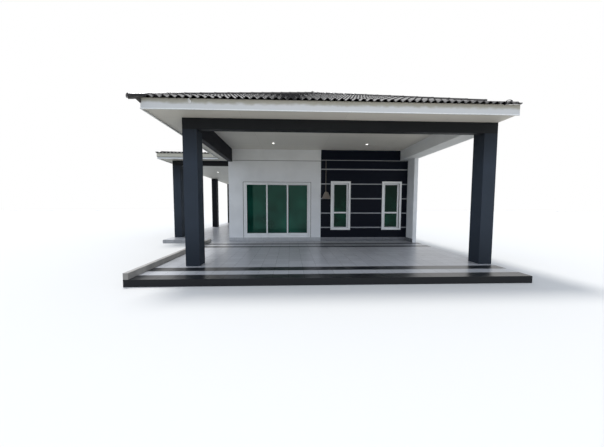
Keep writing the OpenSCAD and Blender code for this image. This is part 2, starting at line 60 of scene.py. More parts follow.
# Thickness of the roof slabs in the frame, measured upright
SLAB = 0.045
# Room between two tiles that lie beside or on each other
LAP_GAP = 0.002
# Faces across one tile, which has two rolls
TILE_STEPS = 20
# Turn of a slope about Z, by the side of the house that it faces
FACES_FRONT, FACES_LEFT, FACES_REAR, FACES_RIGHT = 0, -math.pi / 2, math.pi, math.pi / 2


def length(name, description, default):
    """A property that holds a length in metres."""
    return FloatProperty(name=name, description=description, default=default,
                         subtype="DISTANCE", unit="LENGTH")


def angle(name, description, degrees):
    """A property that holds an angle, whose default is given in degrees."""
    return FloatProperty(name=name, description=description, default=math.radians(degrees),
                         subtype="ANGLE", unit="ROTATION")


def factor(name, description, default):
    """A property that holds a part of a whole."""
    return FloatProperty(name=name, description=description, default=default, subtype="FACTOR")


def paint(name, description, default):
    """A property that holds an sRGB colour as a hex value."""
    return StringProperty(name=name, description=description, default=default)


class RoofSettings(bpy.types.PropertyGroup):
    """Sizes of the tiles and caps."""
    tile_cover: length("Tile cover", "Width that one tile covers, two rolls", 0.310)
    tile_gauge: length("Tile gauge", "Distance between two courses, up the slope", 0.330)
    tile_length: length("Tile length", "Length of a tile with its lap", 0.395)
    tile_thickness: length("Tile thickness", "Thickness of the clay", 0.012)
    roll_height: length("Roll height", "Height of a roll over the pan beside it", 0.048)
    nose_lift: length("Nose lift", "Underside of a tile's nose over the roof plane", 0.006)
    cap_spacing: length("Cap spacing", "Distance between two hip or ridge caps", 0.400)
    cap_lap: length("Cap lap", "Length that a cap slides under the next one", 0.050)
    cap_radius: length("Cap radius", "Outer radius of a cap at its collar", 0.080)
    cap_taper: factor("Cap taper", "Radius at a cap's upper end over that at its collar", 0.95)
    cap_thickness: length("Cap thickness", "Thickness of a cap", 0.010)
    cap_lift: length("Cap lift", "Middle of a hip's caps over the hip", 0.014)
    ridge_lift: length("Ridge lift", "Middle of the ridge caps over the ridge", 0.022)
    cap_run_out: length("Cap overhang", "How far a hip cap passes the main eave, in plan", 0.10)
    collar_width: length("Collar width", "Length of the raised collar at a cap's lower end", 0.045)
    collar_height: length("Collar height", "Height of the collar over the cap", 0.003)
    valley_half: length("Valley half width", "Open valley on each side of its line", 0.045)


class FittingSettings(bpy.types.PropertyGroup):
    """Sizes of the trim, gaskets and lights."""
    skirting_length: length("Skirting tile", "Length of a skirting tile and its joint", 0.330)
    skirting_thickness: length("Skirting thickness", "How far the skirting stands out", 0.010)
    skirting_joint: length("Skirting joint", "Width of the joint between the tiles", 0.003)
    bead_height: length("Bead height", "Height of the bead along the fascia's foot", 0.022)
    bead_depth: length("Bead depth", "How far the bead stands out from the fascia", 0.012)
    band_rise: length("Band rise", "Underside of the wall's band over that of the beams", 0.060)
    # The band and door lines are painted shadow
    band_joint: length("Band joint", "Height of the painted shadow line under the band", 0.014)
    door_shadow_width: length("Door shadow line", "Width of the painted shadow line round the door frame", 0.016)
    gasket_width: length("Gasket width", "Width of the rubber seal round a pane", 0.009)
    gasket_depth: length("Gasket depth", "How far the seal stands out from the pane", 0.006)
    shade_height: length("Shade height", "Height of the wall lamp's shade", 0.270)
    shade_neck: length("Shade neck", "Radius of the shade at its neck", 0.070)
    shade_flare: length("Shade flare", "How far the shade's rim stands out", 0.012)
    shade_wall: length("Shade wall", "Thickness of the shade's metal", 0.003)
    conduit_radius: length("Conduit radius", "Radius of the lamp's conduit", 0.008)


class PaintSettings(bpy.types.PropertyGroup):
    """Colours of the house, as sRGB hex values."""
    wall: paint("Wall", "Emulsion on the walls", "#edeff1")
    board: paint("Board", "Ceiling and soffit boards", "#dedbd4")
    charcoal: paint("Charcoal", "Columns", "#353d48")
    # Beam and side beam are the columns' charcoal made darker, as painted shade
    beam: paint("Beam", "Beams over the columns", "#1c1e20")
    side_beam: paint("Side beam", "Beam along the open side of the porch", "#0d1018")
    navy: paint("Navy", "Feature wall", "#070e1c")
    trim: paint("Trim", "Window surrounds", "#f8f9f9")
    lines: paint("Lines", "White lines on the feature wall", "#a4a7aa")
    fascia: paint("Fascia", "Gloss paint on the fascia", "#d2d4d5")
    # The weathered fascia colour is painted shade under the overhanging tiles
    weathered: paint("Fascia in painted shade", "Fascia under the tiles, darkened as painted shade", "#aba89c")
    bead: paint("Bead", "Bead along the fascia's foot", "#f4f6f7")
    # Painted shadow: the dark colour of the thin strips that stand in for shade in gaps
    sealant: paint("Sealant", "Dark paint of the painted shadow lines", "#4a4644")
    skirting: paint("Skirting", "Skirting tiles at the white walls", "#cbcdd0")
    dark_skirting: paint("Dark skirting", "Skirting tiles at the dark wall", "#808286")
    lamp: paint("Lamp plastic", "Rims of the downlights, the bulb and the hook", "#ececea")
    conduit: paint("Conduit", "Conduit of the wall lamp", "#a0978c")
    aluminium: paint("Aluminium", "Powder coat of the frames", "#f6f8f9")
    glass: paint("Glass", "Tint of the panes", "#15463a")
    # Painted shade: the window glass is the door glass made darker for the dark room behind it
    window_glass: paint("Window glass", "Tint of the panes, darkened as painted shade of the room behind", "#0d3226")
    tile: paint("Roof tile", "Glaze of the roof tiles", "#1d1b1d")
    floor: paint("Floor tile", "Porch floor tiles", "#b7b8bb")
    dark_floor: paint("Dark floor tile", "Dark rows in the porch floor", "#1f2124")
    inner_floor: paint("Inner floor tile", "Tiles of the house floor", "#cbc6b8")


class StudioSettings(bpy.types.PropertyGroup):
    """Camera, lamps and world."""
    lens: FloatProperty(name="Lens", description="Focal length on a 36 mm sensor", default=15.59,
                        subtype="DISTANCE_CAMERA", unit="CAMERA")
    eye: FloatVectorProperty(name="Eye", description="Place of the camera", size=3,
                             default=(-1.27, -6.337, 1.609), subtype="XYZ", unit="LENGTH")
    tilt: angle("Tilt", "Turn of the camera up from level", -3.860)
    heading: angle("Heading", "Turn of the camera to the left", -2.437)
    roll: angle("Roll", "Turn of the camera about its own axis", 0.131)
    sky_strength: FloatProperty(name="Sky", description="Strength of the soft light all round",
                                default=1.11, min=0)
    sky_lean: factor("Sky lean", "How much brighter the left of the sky is than its mean", 0.20)
    sun_strength: FloatProperty(name="Sun", description="Strength of the soft sun from behind",
                                default=2.0, min=0)
    sun_angle: angle("Sun angle", "Apparent size of the sun", 12)
    sun_tilt: angle("Sun tilt", "Lean of the sun from overhead, below 0 towards the rear", -22)
    sun_turn: angle("Sun turn", "Turn of the sun about the upright", 35)
    floor_half: length("Floor size", "Half the side of the studio floor", 80)


# Object and mesh helpers

def alone(piece):
    """Deselects everything but one object and makes it active."""
    bpy.ops.object.select_all(action="DESELECT")
    piece.select_set(True)
    bpy.context.view_layer.objects.active = piece


def edit(piece):
    """Opens a piece alone in edit mode."""
    alone(piece)
    bpy.ops.object.mode_set(mode="EDIT")


def leave():
    """Closes edit mode."""
    bpy.ops.object.mode_set(mode="OBJECT")


def pick(piece, kind, test):
    """Selects the faces, edges or verts that pass a test, in edit mode, and no others."""
    modes = {"faces": "FACE", "edges": "EDGE", "verts": "VERT"}
    bpy.ops.mesh.select_mode(type=modes[kind])
    bpy.ops.mesh.select_all(action="DESELECT")
    mesh = bmesh.from_edit_mesh(piece.data)
    for element in getattr(mesh, kind):
        if test(element):
            element.select_set(True)
    bmesh.update_edit_mesh(piece.data)


def middle(element):
    """The middle of an edge or a face."""
    return sum((v.co for v in element.verts), Vector()) / len(element.verts)


def modifier(piece, kind, **settings):
    """Adds a modifier, sets it and applies it."""
    alone(piece)
    added = piece.modifiers.new(kind.title(), kind)
    for name, value in settings.items():
        setattr(added, name, value)
    bpy.ops.object.modifier_apply(modifier=added.name)


def repeat(piece, step, count):
    """Copies a piece along a step, with all its copies in one mesh."""
    modifier(piece, "ARRAY", use_relative_offset=False, use_constant_offset=True,
             constant_offset_displace=step, count=count)


def place(piece, location=(0, 0, 0), rotation=(0, 0, 0)):
    """Puts a piece's place into its mesh."""
    alone(piece)
    piece.location = location
    piece.rotation_mode = "XYZ"
    piece.rotation_euler = rotation
    bpy.ops.object.transform_apply(location=True, rotation=True, scale=True)


def cut_off(piece, point, side):
    """Cuts a piece by a plane through a point and removes what lies on the given side."""
    edit(piece)
    bpy.ops.mesh.select_all(action="SELECT")
    bpy.ops.mesh.bisect(plane_co=point, plane_no=side, use_fill=True, clear_outer=True)
    leave()


def join(pieces):
    """Joins the pieces into the first one."""
    alone(pieces[0])
    for piece in pieces:
        piece.select_set(True)
    if len(pieces) > 1:
        bpy.ops.object.join()
    return pieces[0]


def bar(low, high):
    """A box from its lowest to its highest corner."""
    low, high = Vector(low), Vector(high)
    bpy.ops.mesh.primitive_cube_add(size=1, location=(low + high) / 2)
    piece = bpy.context.object
    piece.scale = high - low
    place(piece, piece.location)
    return piece


def dress(piece, name, finish, body="house", replaces=(), smooth=30):
    """Names a piece, gives it the finish of this name and lets it ride on its body."""
    piece.name = name
    piece.data.name = name
    piece.data.materials.clear()
    piece.data.materials.append(FINISHES[finish])
    alone(piece)
    if smooth:
        bpy.ops.object.shade_smooth_by_angle(angle=math.radians(smooth))
    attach(piece, body)
    if replaces:
        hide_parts(*replaces)


def solids(node):
    """The lowest and the highest corner of each solid in a CAD node, in the mesh's order."""
    mesh = bmesh.new()
    mesh.from_mesh(frame["nodes"][node].data)
    bmesh.ops.remove_doubles(mesh, verts=mesh.verts, dist=0.0001)
    boxes = []
    seen = set()
    for start in mesh.verts:
        if start in seen:
            continue
        seen.add(start)
        island = [start]
        for vertex in island:
            for edge in vertex.link_edges:
                other = edge.other_vert(vertex)
                if other not in seen:
                    seen.add(other)
                    island.append(other)
        axes = list(zip(*(v.co for v in island)))
        boxes.append((Vector(min(a) for a in axes), Vector(max(a) for a in axes)))
    mesh.free()
    return boxes


# Material helpers

# The range in which most of a noise texture's values lie, and the middle half of it
MOST, MIDDLE = (0.3, 0.7), (0.35, 0.65)


def colour(code):
    """The linear colour of an sRGB hex value."""
    parts = [int(code[i:i + 2], 16) / 255 for i in (1, 3, 5)]
    return [p / 12.92 if p <= 0.04045 else ((p + 0.055) / 1.055) ** 2.4 for p in parts] + [1]


def darker(code, share):
    """A hex colour with its channels multiplied by a share, which lightens it above 1."""
    return "#" + "".join(f"{min(255, round(int(code[i:i + 2], 16) * share)):02x}" for i in (1, 3, 5))


def per_metre(millimetres):
    """The scale at which a texture's features have this size."""
    return 1000 / millimetres


def emptied(owner):
    """A material or a world, with no nodes."""
    owner.use_nodes = True
    owner.node_tree.nodes.clear()
    return owner


def add(owner, kind, inputs=None, **settings):
    """Adds a node to a material or a world, sets its properties, and sets or links its inputs.
    A link in a tuple with numbers is mapped on its way, from the range of the first two
    numbers to 0 and 1, or to the last two."""
    tree = owner.node_tree
    made = tree.nodes.new(kind)
    for name, value in settings.items():
        setattr(made, name, value)
    for name, value in (inputs or {}).items():
        if isinstance(value, tuple) and isinstance(value[0], bpy.types.NodeSocket):
            value = add(owner, "ShaderNodeMapRange", dict(enumerate(value))).outputs[0]
        if isinstance(value, bpy.types.NodeSocket):
            tree.links.new(value, made.inputs[name])
        else:
            made.inputs[name].default_value = value
    return made


def layered(owner, ground, *layers):
    """A colour with others laid over it, each by its share at a point."""
    for share, code in layers:
        ground = add(owner, "ShaderNodeMix", {0: share, 6: ground, 7: colour(code)},
                     data_type="RGBA").outputs[2]
    return ground


def faded(owner, coords, tint, code, fades):
    """A tint that turns, from one height to another, to a share of its code, for each fade."""
    for full, dim, share in fades:
        up = add(owner, "ShaderNodeSeparateXYZ", {"Vector": coords}).outputs["Z"]
        tint = layered(owner, tint, ((up, full, dim), darker(code, share)))
    return tint


def new_finish(name, *noises):
    """A new material, the object's coordinates in it, and its noises, each from the size of
    its features in millimetres and its detail."""
    made = emptied(bpy.data.materials.new(name))
    coords = add(made, "ShaderNodeTexCoord").outputs["Object"]
    return made, coords, *[
        add(made, "ShaderNodeTexNoise",
            {"Vector": coords, "Scale": per_metre(size), "Detail": detail}).outputs[0]
        for size, detail in noises]


def surface(made, tint, roughness, *relief, ior=1.5, **inputs):
    """Ends a material in a principled shader. Each relief is a pattern, its strength and its
    depth in metres, and lies over the one before it. An input is named with _ for a space."""
    inputs = {name.replace("_", " "): value for name, value in inputs.items()}
    inputs.update({"Base Color": tint, "Roughness": roughness, "IOR": ior})
    normal = {}
    for pattern, strength, depth in relief:
        bump = add(made, "ShaderNodeBump", {"Height": pattern, "Strength": strength,
                                            "Distance": depth, **normal})
        normal = {"Normal": bump.outputs[0]}
    shader = add(made, "ShaderNodeBsdfPrincipled", {**inputs, **normal})
    add(made, "ShaderNodeOutputMaterial", {"Surface": shader.outputs[0]})
    return made


# Finishes

def plaster(name, code, roughness, gloss=0.5, fades=()):
    """Roller-laid masonry paint on trowelled plaster: matt or satin, with slow waves that the
    trowel leaves, and a stipple that is drawn coarser than the real 2 mm so that it shows."""
    made, coords, waves, stipple = new_finish(name, (700, 3), (14, 2))
    tint = layered(made, colour(darker(code, 0.965)), ((waves, *MIDDLE), code))
    return surface(made, faded(made, coords, tint, code, fades),
                   (stipple, *MOST, roughness - 0.06, roughness + 0.06),
                   (waves, 0.5, 0.006), (stipple, 0.35, 0.001), ior=1.48, Specular_IOR_Level=gloss)


def ceiling_board(code):
    """Painted fibre-cement board, in sheets of 1.2 by 2.4 m: flat, with fine butt joints."""
    made, coords, grain = new_finish("painted fibre-cement board", (40, 4))
    sheets = add(made, "ShaderNodeTexBrick", {
        "Vector": coords, "Color1": colour(code), "Color2": colour(darker(code, 0.975)),
        "Mortar": colour(darker(code, 0.84)), "Scale": 1, "Mortar Size": 0.0022,
        "Mortar Smooth": 0.3, "Brick Width": 2.4, "Row Height": 1.2}, offset=0).outputs
    return surface(made, sheets["Color"], (grain, *MOST, 0.50, 0.62),
                   ((sheets["Fac"], 0, 1, 0, -1), 0.6, 0.002), (grain, 0.15, 0.001), ior=1.48)


def gloss_board(code, weathered, edge):
    """Gloss paint on a planed board: smooth, with faint lengthwise brush marks. Above the edge it takes
    the weathered colour, a dull grey beige, which is painted shade from the overhanging tiles."""
    made, coords, shade_wobble = new_finish("gloss paint on board", (160, 6))
    up = add(made, "ShaderNodeSeparateXYZ", {"Vector": coords}).outputs["Z"]
    up = add(made, "ShaderNodeMath", {0: (shade_wobble, *MOST, -0.022, 0.022), 1: up},
             operation="ADD").outputs[0]
    # Painted shade: the band above the edge, with a wavering lower line; it is also rougher
    painted_shade_band = (up, edge - 0.028, edge + 0.028)
    brush_at = add(made, "ShaderNodeMapping", {"Vector": coords, "Scale": (0.03, 0.03, 1)})
    brush = add(made, "ShaderNodeTexNoise", {"Vector": brush_at.outputs[0], "Detail": 2,
                                             "Scale": per_metre(5)}).outputs[0]
    return surface(made, layered(made, colour(code), (painted_shade_band, weathered)), (*painted_shade_band, 0.28, 0.50),
                   (brush, 0.2, 0.0006), ior=1.48)


def floor_tiles(name, code, size, dark=None, dark_rows=()):
    """Satin porcelain tiles: a soft, blurred reflection and sunk grout, and a faint cloud in the
    body of a floor of one colour. Dark rows are counted from the front edge of the porch."""
    made, coords = new_finish(name)
    shifted = add(made, "ShaderNodeMapping",
                  {"Vector": coords, "Location": (0, -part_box("porch_floor")[0].y, 0)}).outputs[0]
    tiles = add(made, "ShaderNodeTexBrick", {
        "Vector": shifted, "Color1": colour(code), "Color2": colour(darker(code, 0.93)),
        "Mortar": colour(darker(code, 0.62)), "Scale": 1, "Mortar Size": 0.0022,
        "Mortar Smooth": 0.2, "Brick Width": size, "Row Height": size}, offset=0).outputs
    if dark_rows:
        row = add(made, "ShaderNodeSeparateXYZ", {"Vector": shifted}).outputs["Y"]
        row = add(made, "ShaderNodeMath", {0: row, 1: size}, operation="DIVIDE").outputs[0]
        row = add(made, "ShaderNodeMath", {0: row}, operation="FLOOR").outputs[0]
        layers = [(add(made, "ShaderNodeMath", {0: row, 1: number, 2: 0.5},
                       operation="COMPARE").outputs[0], dark) for number in dark_rows]
    else:
        cloud = add(made, "ShaderNodeTexNoise",
                    {"Vector": coords, "Scale": per_metre(60), "Detail": 5}).outputs[0]
        layers = [((cloud, *MOST, 0, 0.35), darker(code, 0.80))]
    return surface(made, layered(made, tiles["Color"], *layers), (tiles["Fac"], 0, 1, 0.30, 0.75),
                   ((tiles["Fac"], 0, 1, 0, -1), 0.5, 0.0015), ior=1.55, Specular_IOR_Level=0.25)


def bare_concrete():
    """Float-finished concrete: grey, blotched by damp, with small air holes."""
    made, coords, blotch = new_finish("float-finished concrete", (350, 6))
    holes = add(made, "ShaderNodeTexVoronoi", {"Vector": coords, "Scale": per_metre(35)}).outputs[0]
    return surface(made, layered(made, colour("#95928d"), ((blotch, *MIDDLE), "#aca8a2")),
                   (blotch, *MOST, 0.7, 0.9), ((holes, 0, 0.25), 0.5, 0.002))


def roof_clay(code):
    """Pressed roof tile with a semi-gloss slip: each tile a little lighter or darker than the
    next, with dust in the pans and a fine sandy grain."""
    made, coords, dust, grain = new_finish("semi-gloss slip on roof tile", (900, 6), (9, 2))
    cells = add(made, "ShaderNodeTexVoronoi",
                {"Vector": coords, "Scale": per_metre(330), "Randomness": 0.4}).outputs["Color"]
    tone = add(made, "ShaderNodeSeparateColor", {"Color": cells}).outputs[0]
    tint = layered(made, colour(darker(code, 0.82)), (tone, darker(code, 1.14)),
                   ((dust, 0.5, 0.8, 0, 0.18), "#4e4a49"))
    return surface(made, tint, (dust, 0.3, 0.8, 0.10, 0.24), (grain, 0.4, 0.0015),
                   Specular_Tint=colour("#e6e6e8"))


def bedding_mortar():
    """Tinted cement mortar under the caps: rough and unevenly dried."""
    made, _, lumps = new_finish("tinted bedding mortar", (45, 5))
    return surface(made, layered(made, colour("#3b3938"), ((lumps, *MIDDLE), "#5b5856")),
                   (lumps, *MOST, 0.8, 0.95), (lumps, 0.8, 0.006))


def powder_coat(code):
    """Polyester powder coat on extruded aluminium: satin, with a faint orange peel that is
    drawn at 4 mm so that it shows."""
    made, _, peel, film = new_finish("white powder coat on aluminium", (4, 1), (300, 3))
    return surface(made, layered(made, colour(darker(code, 0.97)), ((film, *MIDDLE), code)),
                   (film, *MOST, 0.28, 0.36), (peel, 0.2, 0.0005))


def tinted_glass(code, wave, gloss, head_share):
    """Dark green float glass: smooth, reflecting more at a slant, with the slight waves that bend a
    reflection in a large pane. Its colour is mottled lighter and darker by the waves and is paler at
    its foot than at its head: painted reflection."""
    made, coords, waves = new_finish("green float glass", (wave, 1))
    # Painted reflection: the tint is mottled by the waves and turns darker towards the head
    tint = layered(made, colour(darker(code, 0.62)), ((waves, *MOST), darker(code, 1.30)))
    return surface(made, faded(made, coords, tint, code, [(1.2, 2.3, head_share)]),
                   (waves, *MOST, 0.02, 0.04), (waves, 0.25, 0.004), ior=1.52,
                   Transmission_Weight=0.2, Specular_IOR_Level=gloss,
                   Specular_Tint=colour("#b4f0dc"))


def rubber():
    """Extruded black glazing rubber: matt, greyed a little by the sun."""
    made, _, bloom = new_finish("black glazing rubber", (120, 4))
    return surface(made, layered(made, colour("#17181a"), (bloom, "#2a2b2d")),
                   (bloom, *MOST, 0.6, 0.75), ior=1.52)


def spun_bronze():
    """Lacquered bronze, spun on a lathe, with fine rings round the shade. The lighter rings in its
    colour are painted highlights.
    """
    made, coords = new_finish("lacquered spun bronze")
    rings_at = add(made, "ShaderNodeMapping", {"Vector": coords, "Scale": (0.05, 0.05, 1)})
    rings = add(made, "ShaderNodeTexNoise", {"Vector": rings_at.outputs[0], "Detail": 2,
                                             "Scale": per_metre(3)}).outputs[0]
    # Painted highlight: the lighter rings in the colour
    return surface(made, layered(made, colour("#7c736c"), (rings, "#b0a69e")),
                   (rings, *MOST, 0.30, 0.42), (rings, 0.3, 0.0004), Metallic=0.7)


def moulded_plastic(name, code, roughness):
    """Injection-moulded plastic: even, with a very slight sink in broad faces."""
    made, _, sink = new_finish(name, (30, 1))
    return surface(made, layered(made, colour(darker(code, 0.97)), (sink, code)),
                   (sink, *MOST, roughness, roughness + 0.08), (sink, 0.15, 0.0006), ior=1.46)


def opal_lens():
    """Opal acrylic in front of a lit lamp: an even warm white glow, a little uneven inside."""
    made, _, cloud = new_finish("lit opal acrylic", (25, 1))
    tint = layered(made, colour("#f6efe2"), (cloud, "#ffffff"))
    return surface(made, tint, 0.3, ior=1.49, Emission_Color=tint, Emission_Strength=2.4)


def galvanised_steel():
    """Weathered galvanised sheet: dull grey with the patches of its zinc crystals."""
    made, coords = new_finish("weathered galvanised steel")
    spangle = add(made, "ShaderNodeTexVoronoi",
                  {"Vector": coords, "Scale": per_metre(25)}).outputs["Color"]
    tone = add(made, "ShaderNodeSeparateColor", {"Color": spangle}).outputs[0]
    return surface(made, layered(made, colour("#6d7072"), (tone, "#8b8e90")),
                   (tone, 0, 1, 0.45, 0.6), Metallic=0.9)


def make_finishes():
    """All finishes of the house, by the record's slots and by their own names."""
    paints = bpy.context.scene.bungalow_paint
    board_low, board_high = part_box("eave_fascia")
    # Painted shade on the fascia starts at this height, under the overhanging tiles
    shade_edge_z = board_low.z + 0.6 * (board_high.z - board_low.z)
    # A column is darker at its foot, and darker again at its head with painted shade from the eave
    column_fades = ((1.2, 0.3, 0.80), (2.6, 3.5, 0.64))
    return {
        "wall_paint": plaster("white emulsion on plaster", paints.wall, 0.62),
        "dark_paint": plaster("charcoal masonry paint", paints.charcoal, 0.60, 0.14, column_fades),
        "beam_painted_shade": plaster("black masonry paint", paints.beam, 0.60, 0.15),
        "side_beam_painted_shade": plaster("blue-black masonry paint", paints.side_beam, 0.60, 0.15),
        "feature_paint": plaster("navy masonry paint", paints.navy, 0.50, 0.12),
        "trim_paint": plaster("white gloss masonry paint", paints.trim, 0.34),
        "line_paint": plaster("white line paint", paints.lines, 0.5, 0.25),
        # The terrace's cover board is a grey beige, a little lighter than the weathered colour
        "grey_beige_board": plaster("greyed gloss paint on board", darker(paints.weathered, 1.16), 0.45),
        "board": ceiling_board(paints.board),
        "fascia_board": gloss_board(paints.fascia, paints.weathered, shade_edge_z),
        "floor_tile": floor_tiles("satin porcelain floor tile", paints.floor, 0.33,
                                  paints.dark_floor, (0, 2, 12, 14)),
        "inner_floor": floor_tiles("cream porcelain floor tile", paints.inner_floor, 0.60),
        "skirting_tile": floor_tiles("satin skirting tile", paints.skirting, 0.60),
        "dark_skirting": floor_tiles("satin dark skirting tile", paints.dark_skirting, 0.60),
        "concrete": bare_concrete(),
        "roof_tile": roof_clay(paints.tile),
        "mortar": bedding_mortar(),
        "white_aluminium": powder_coat(paints.aluminium),
        "tinted_glass": tinted_glass(paints.glass, 800, 0.3, 0.9),
        # The window glass is darker than the door glass: painted shade of the room behind
        "window_glass": tinted_glass(paints.window_glass, 450, 0.1, 0.3),
        "rubber": rubber(),
        "valley_steel": galvanised_steel(),
        "lamp_metal": spun_bronze(),
        "lamp_white": moulded_plastic("white lamp plastic", paints.lamp, 0.25),
        "conduit": moulded_plastic("grey conduit plastic", paints.conduit, 0.35),
        "bead": moulded_plastic("white bead plastic", paints.bead, 0.25),
        # Painted shadow: the dark strips in the gaps under the band, round the door and under the cover
        # board
        "sealant": moulded_plastic("weathered joint sealant", paints.sealant, 0.60),
        "opal": opal_lens(),
    }


FINISHES = {}
# Nodes whose paint differs from the rest of their slot. The beams and the terrace's inner columns take
# darker copies of the columns' charcoal, as painted shade under the eaves.
OWN_FINISH = {
    "porch_front_beam": "beam_painted_shade", "porch_side_beam": "side_beam_painted_shade",
    "terrace_front_beam": "beam_painted_shade", "terrace_edge_beam": "beam_painted_shade",
    "terrace_middle_column": "side_beam_painted_shade", "terrace_back_column": "side_beam_painted_shade",
    "feature_lines": "line_paint", "window_glass": "window_glass",
}


class BUNGALOW_OT_finishes(bpy.types.Operator):
    """Gives each node of the house its finish"""
    bl_idname = "bungalow.finishes"
    bl_label = "Finishes"

    def execute(self, context):
        FINISHES.update(make_finishes())
        for part in frame["record"]["subparts"]:
            materials = frame["nodes"][part["node"]].data.materials
            materials.clear()
            materials.append(FINISHES[OWN_FINISH.get(part["node"], part["material_slot"])])
        return {"FINISHED"}


# Roof

class RoofPlan:
    """Lines of the main roof and the terrace roof, read from the frame."""

    def __init__(self):
        """Reads the roof's CAD nodes."""
        front_low, front_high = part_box("roof_front_slope")
        rear_low, rear_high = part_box("roof_rear_slope")
        self.x0, self.x1 = front_low.x, front_high.x
        self.y0, self.y1 = front_low.y, rear_high.y
        self.party_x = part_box("roof_right_slope")[1].x
        self.eave = front_low.z
        self.run = (self.x1 - self.x0) / 2
        self.ridge_x = (self.x0 + self.x1) / 2
        self.ridge = front_high.z - SLAB
        self.ridge_y0, self.ridge_y1 = front_high.y, rear_low.y
        self.slope = (self.ridge - self.eave) / self.run
        low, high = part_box("terrace_roof")
        self.terrace_x, self.terrace_eave = low.x, low.z
        self.terrace_y0, self.terrace_y1 = low.y, high.y
        self.terrace_reach = high.x - low.x
        self.terrace_slope = (high.z - SLAB - low.z) / self.terrace_reach

    def corner(self, x, y):
        """A point over the plan, at the height of the main eave."""
        return Vector((x, y, self.eave))

    def left_plane(self):
        """The middle of the main roof's left slab and the side below it, to cut the terrace's."""
        return self.corner(self.x0, self.y0) + Vector((0, 0, SLAB / 2)), (self.slope, 0, -1)


def add_tile(roof):
    """One tile with two rolls: X across, Y up the slope, Z off the roof, nose at Y = 0."""
    bpy.ops.mesh.primitive_grid_add(x_subdivisions=TILE_STEPS, y_subdivisions=1, size=1)
    tile = bpy.context.object
    fall = (roof.tile_thickness + LAP_GAP) / roof.tile_gauge
    for vertex in tile.data.vertices:
        across, up = vertex.co.x + 0.5, (vertex.co.y + 0.5) * roof.tile_length
        roll = 0.5 - 0.5 * math.cos(4 * math.pi * across)
        vertex.co = (LAP_GAP / 2 + across * (roof.tile_cover - LAP_GAP), up,
                     roof.roll_height * roll + roof.nose_lift - fall * up)
    modifier(tile, "SOLIDIFY", thickness=roof.tile_thickness, offset=1, use_even_offset=True)
    return tile


def tile_field(corner, turn, width, run, slope, cuts):
    """Tiles laid from a corner of the eave, along it and up the slope, and cut to the hips."""
    roof = bpy.context.scene.bungalow_roof
    pitch = math.atan(slope)
    field = add_tile(roof)
    repeat(field, (roof.tile_cover, 0, 0), math.ceil(width / roof.tile_cover))
    repeat(field, (0, roof.tile_gauge, 0), math.ceil(run / math.cos(pitch) / roof.tile_gauge))
    place(field, corner, (pitch, 0, turn))
    for point, side in cuts:
        cut_off(field, point, side)
    return field


def main_slopes(plan):
    """The tile fields of the main roof, by name, each with the node that it replaces."""
    front_left, front_right = plan.corner(plan.x0, plan.y0), plan.corner(plan.x1, plan.y0)
    rear_left, rear_right = plan.corner(plan.x0, plan.y1), plan.corner(plan.x1, plan.y1)
    party_front = plan.corner(plan.party_x, plan.y0)
    party_rear = plan.corner(plan.party_x, plan.y1)
    ridge = plan.corner(plan.ridge_x, plan.y0)
    valley = Vector((bpy.context.scene.bungalow_roof.valley_half, 0, 0))
    width, depth, strip = plan.x1 - plan.x0, plan.y1 - plan.y0, plan.party_x - plan.x1
    front = tile_field(front_left, FACES_FRONT, width, plan.run, plan.slope, [
        (front_left, (-1, 1, 0)), (front_right, (1, 1, 0))])
    rear = tile_field(rear_right, FACES_REAR, width, plan.run, plan.slope, [
        (rear_right, (1, -1, 0)), (rear_left, (-1, -1, 0))])
    left = tile_field(rear_left, FACES_LEFT, depth, plan.run, plan.slope, [
        (front_left, (1, -1, 0)), (rear_left, (1, 1, 0)), (ridge, (1, 0, 0))])
    right = tile_field(front_right, FACES_RIGHT, depth, plan.run, plan.slope, [
        (front_right, (-1, -1, 0)), (rear_right, (-1, 1, 0)), (ridge, (-1, 0, 0)),
        (front_right - valley, (1, 0, 0))])
    past_valley = tile_field(rear_right, FACES_LEFT, depth, strip, plan.slope, [
        (front_right, (1, -1, 0)), (rear_right, (1, 1, 0)), (party_front, (1, 0, 0)),
        (front_right + valley, (-1, 0, 0))])
    past_front = tile_field(front_right, FACES_FRONT, strip, strip, plan.slope, [
        (front_right, (-1, 1, 0)), (party_front, (1, 0, 0))])
    past_rear = tile_field(party_rear, FACES_REAR, strip, strip, plan.slope, [
        (rear_right, (-1, -1, 0))])
    return {
        "tiles_front": (front, "roof_front_slope"),
        "tiles_rear": (rear, "roof_rear_slope"),
        "tiles_left": (left, "roof_left_slope"),
        "tiles_right": (join([right, past_valley, past_front, past_rear]), "roof_right_slope"),
    }


def terrace_slopes(plan):
    """The tile fields of the terrace roof, which stop where they meet the main roof."""
    front = Vector((plan.terrace_x, plan.terrace_y0, plan.terrace_eave))
    rear = Vector((plan.terrace_x, plan.terrace_y1, plan.terrace_eave))
    slope, reach = plan.terrace_slope, plan.terrace_reach
    main_hip = (plan.corner(plan.x0, plan.y1), (1, 1, 0))
    return join([
        tile_field(front, FACES_FRONT, reach, reach, slope, [
            (front, (-1, 1, 0)), plan.left_plane()]),
        tile_field(rear + Vector((reach, 0, 0)), FACES_REAR, reach, reach, slope, [
            (rear, (-1, -1, 0)), main_hip, plan.left_plane()]),
        tile_field(rear, FACES_LEFT, plan.terrace_y1 - plan.terrace_y0, reach, slope, [
            (front, (1, -1, 0)), (rear, (1, 1, 0)), plan.left_plane()]),
    ])


class BUNGALOW_OT_roof_tiles(bpy.types.Operator):
    """Lays the tiles on all slopes"""
    bl_idname = "bungalow.roof_tiles"
    bl_label = "Roof tiles"

    def execute(self, context):
        plan = RoofPlan()
        for name, (field, node) in main_slopes(plan).items():
            dress(field, name, "roof_tile", replaces=[node])
        dress(terrace_slopes(plan), "tiles_terrace", "roof_tile",
              replaces=["terrace_roof"])
        return {"FINISHED"}


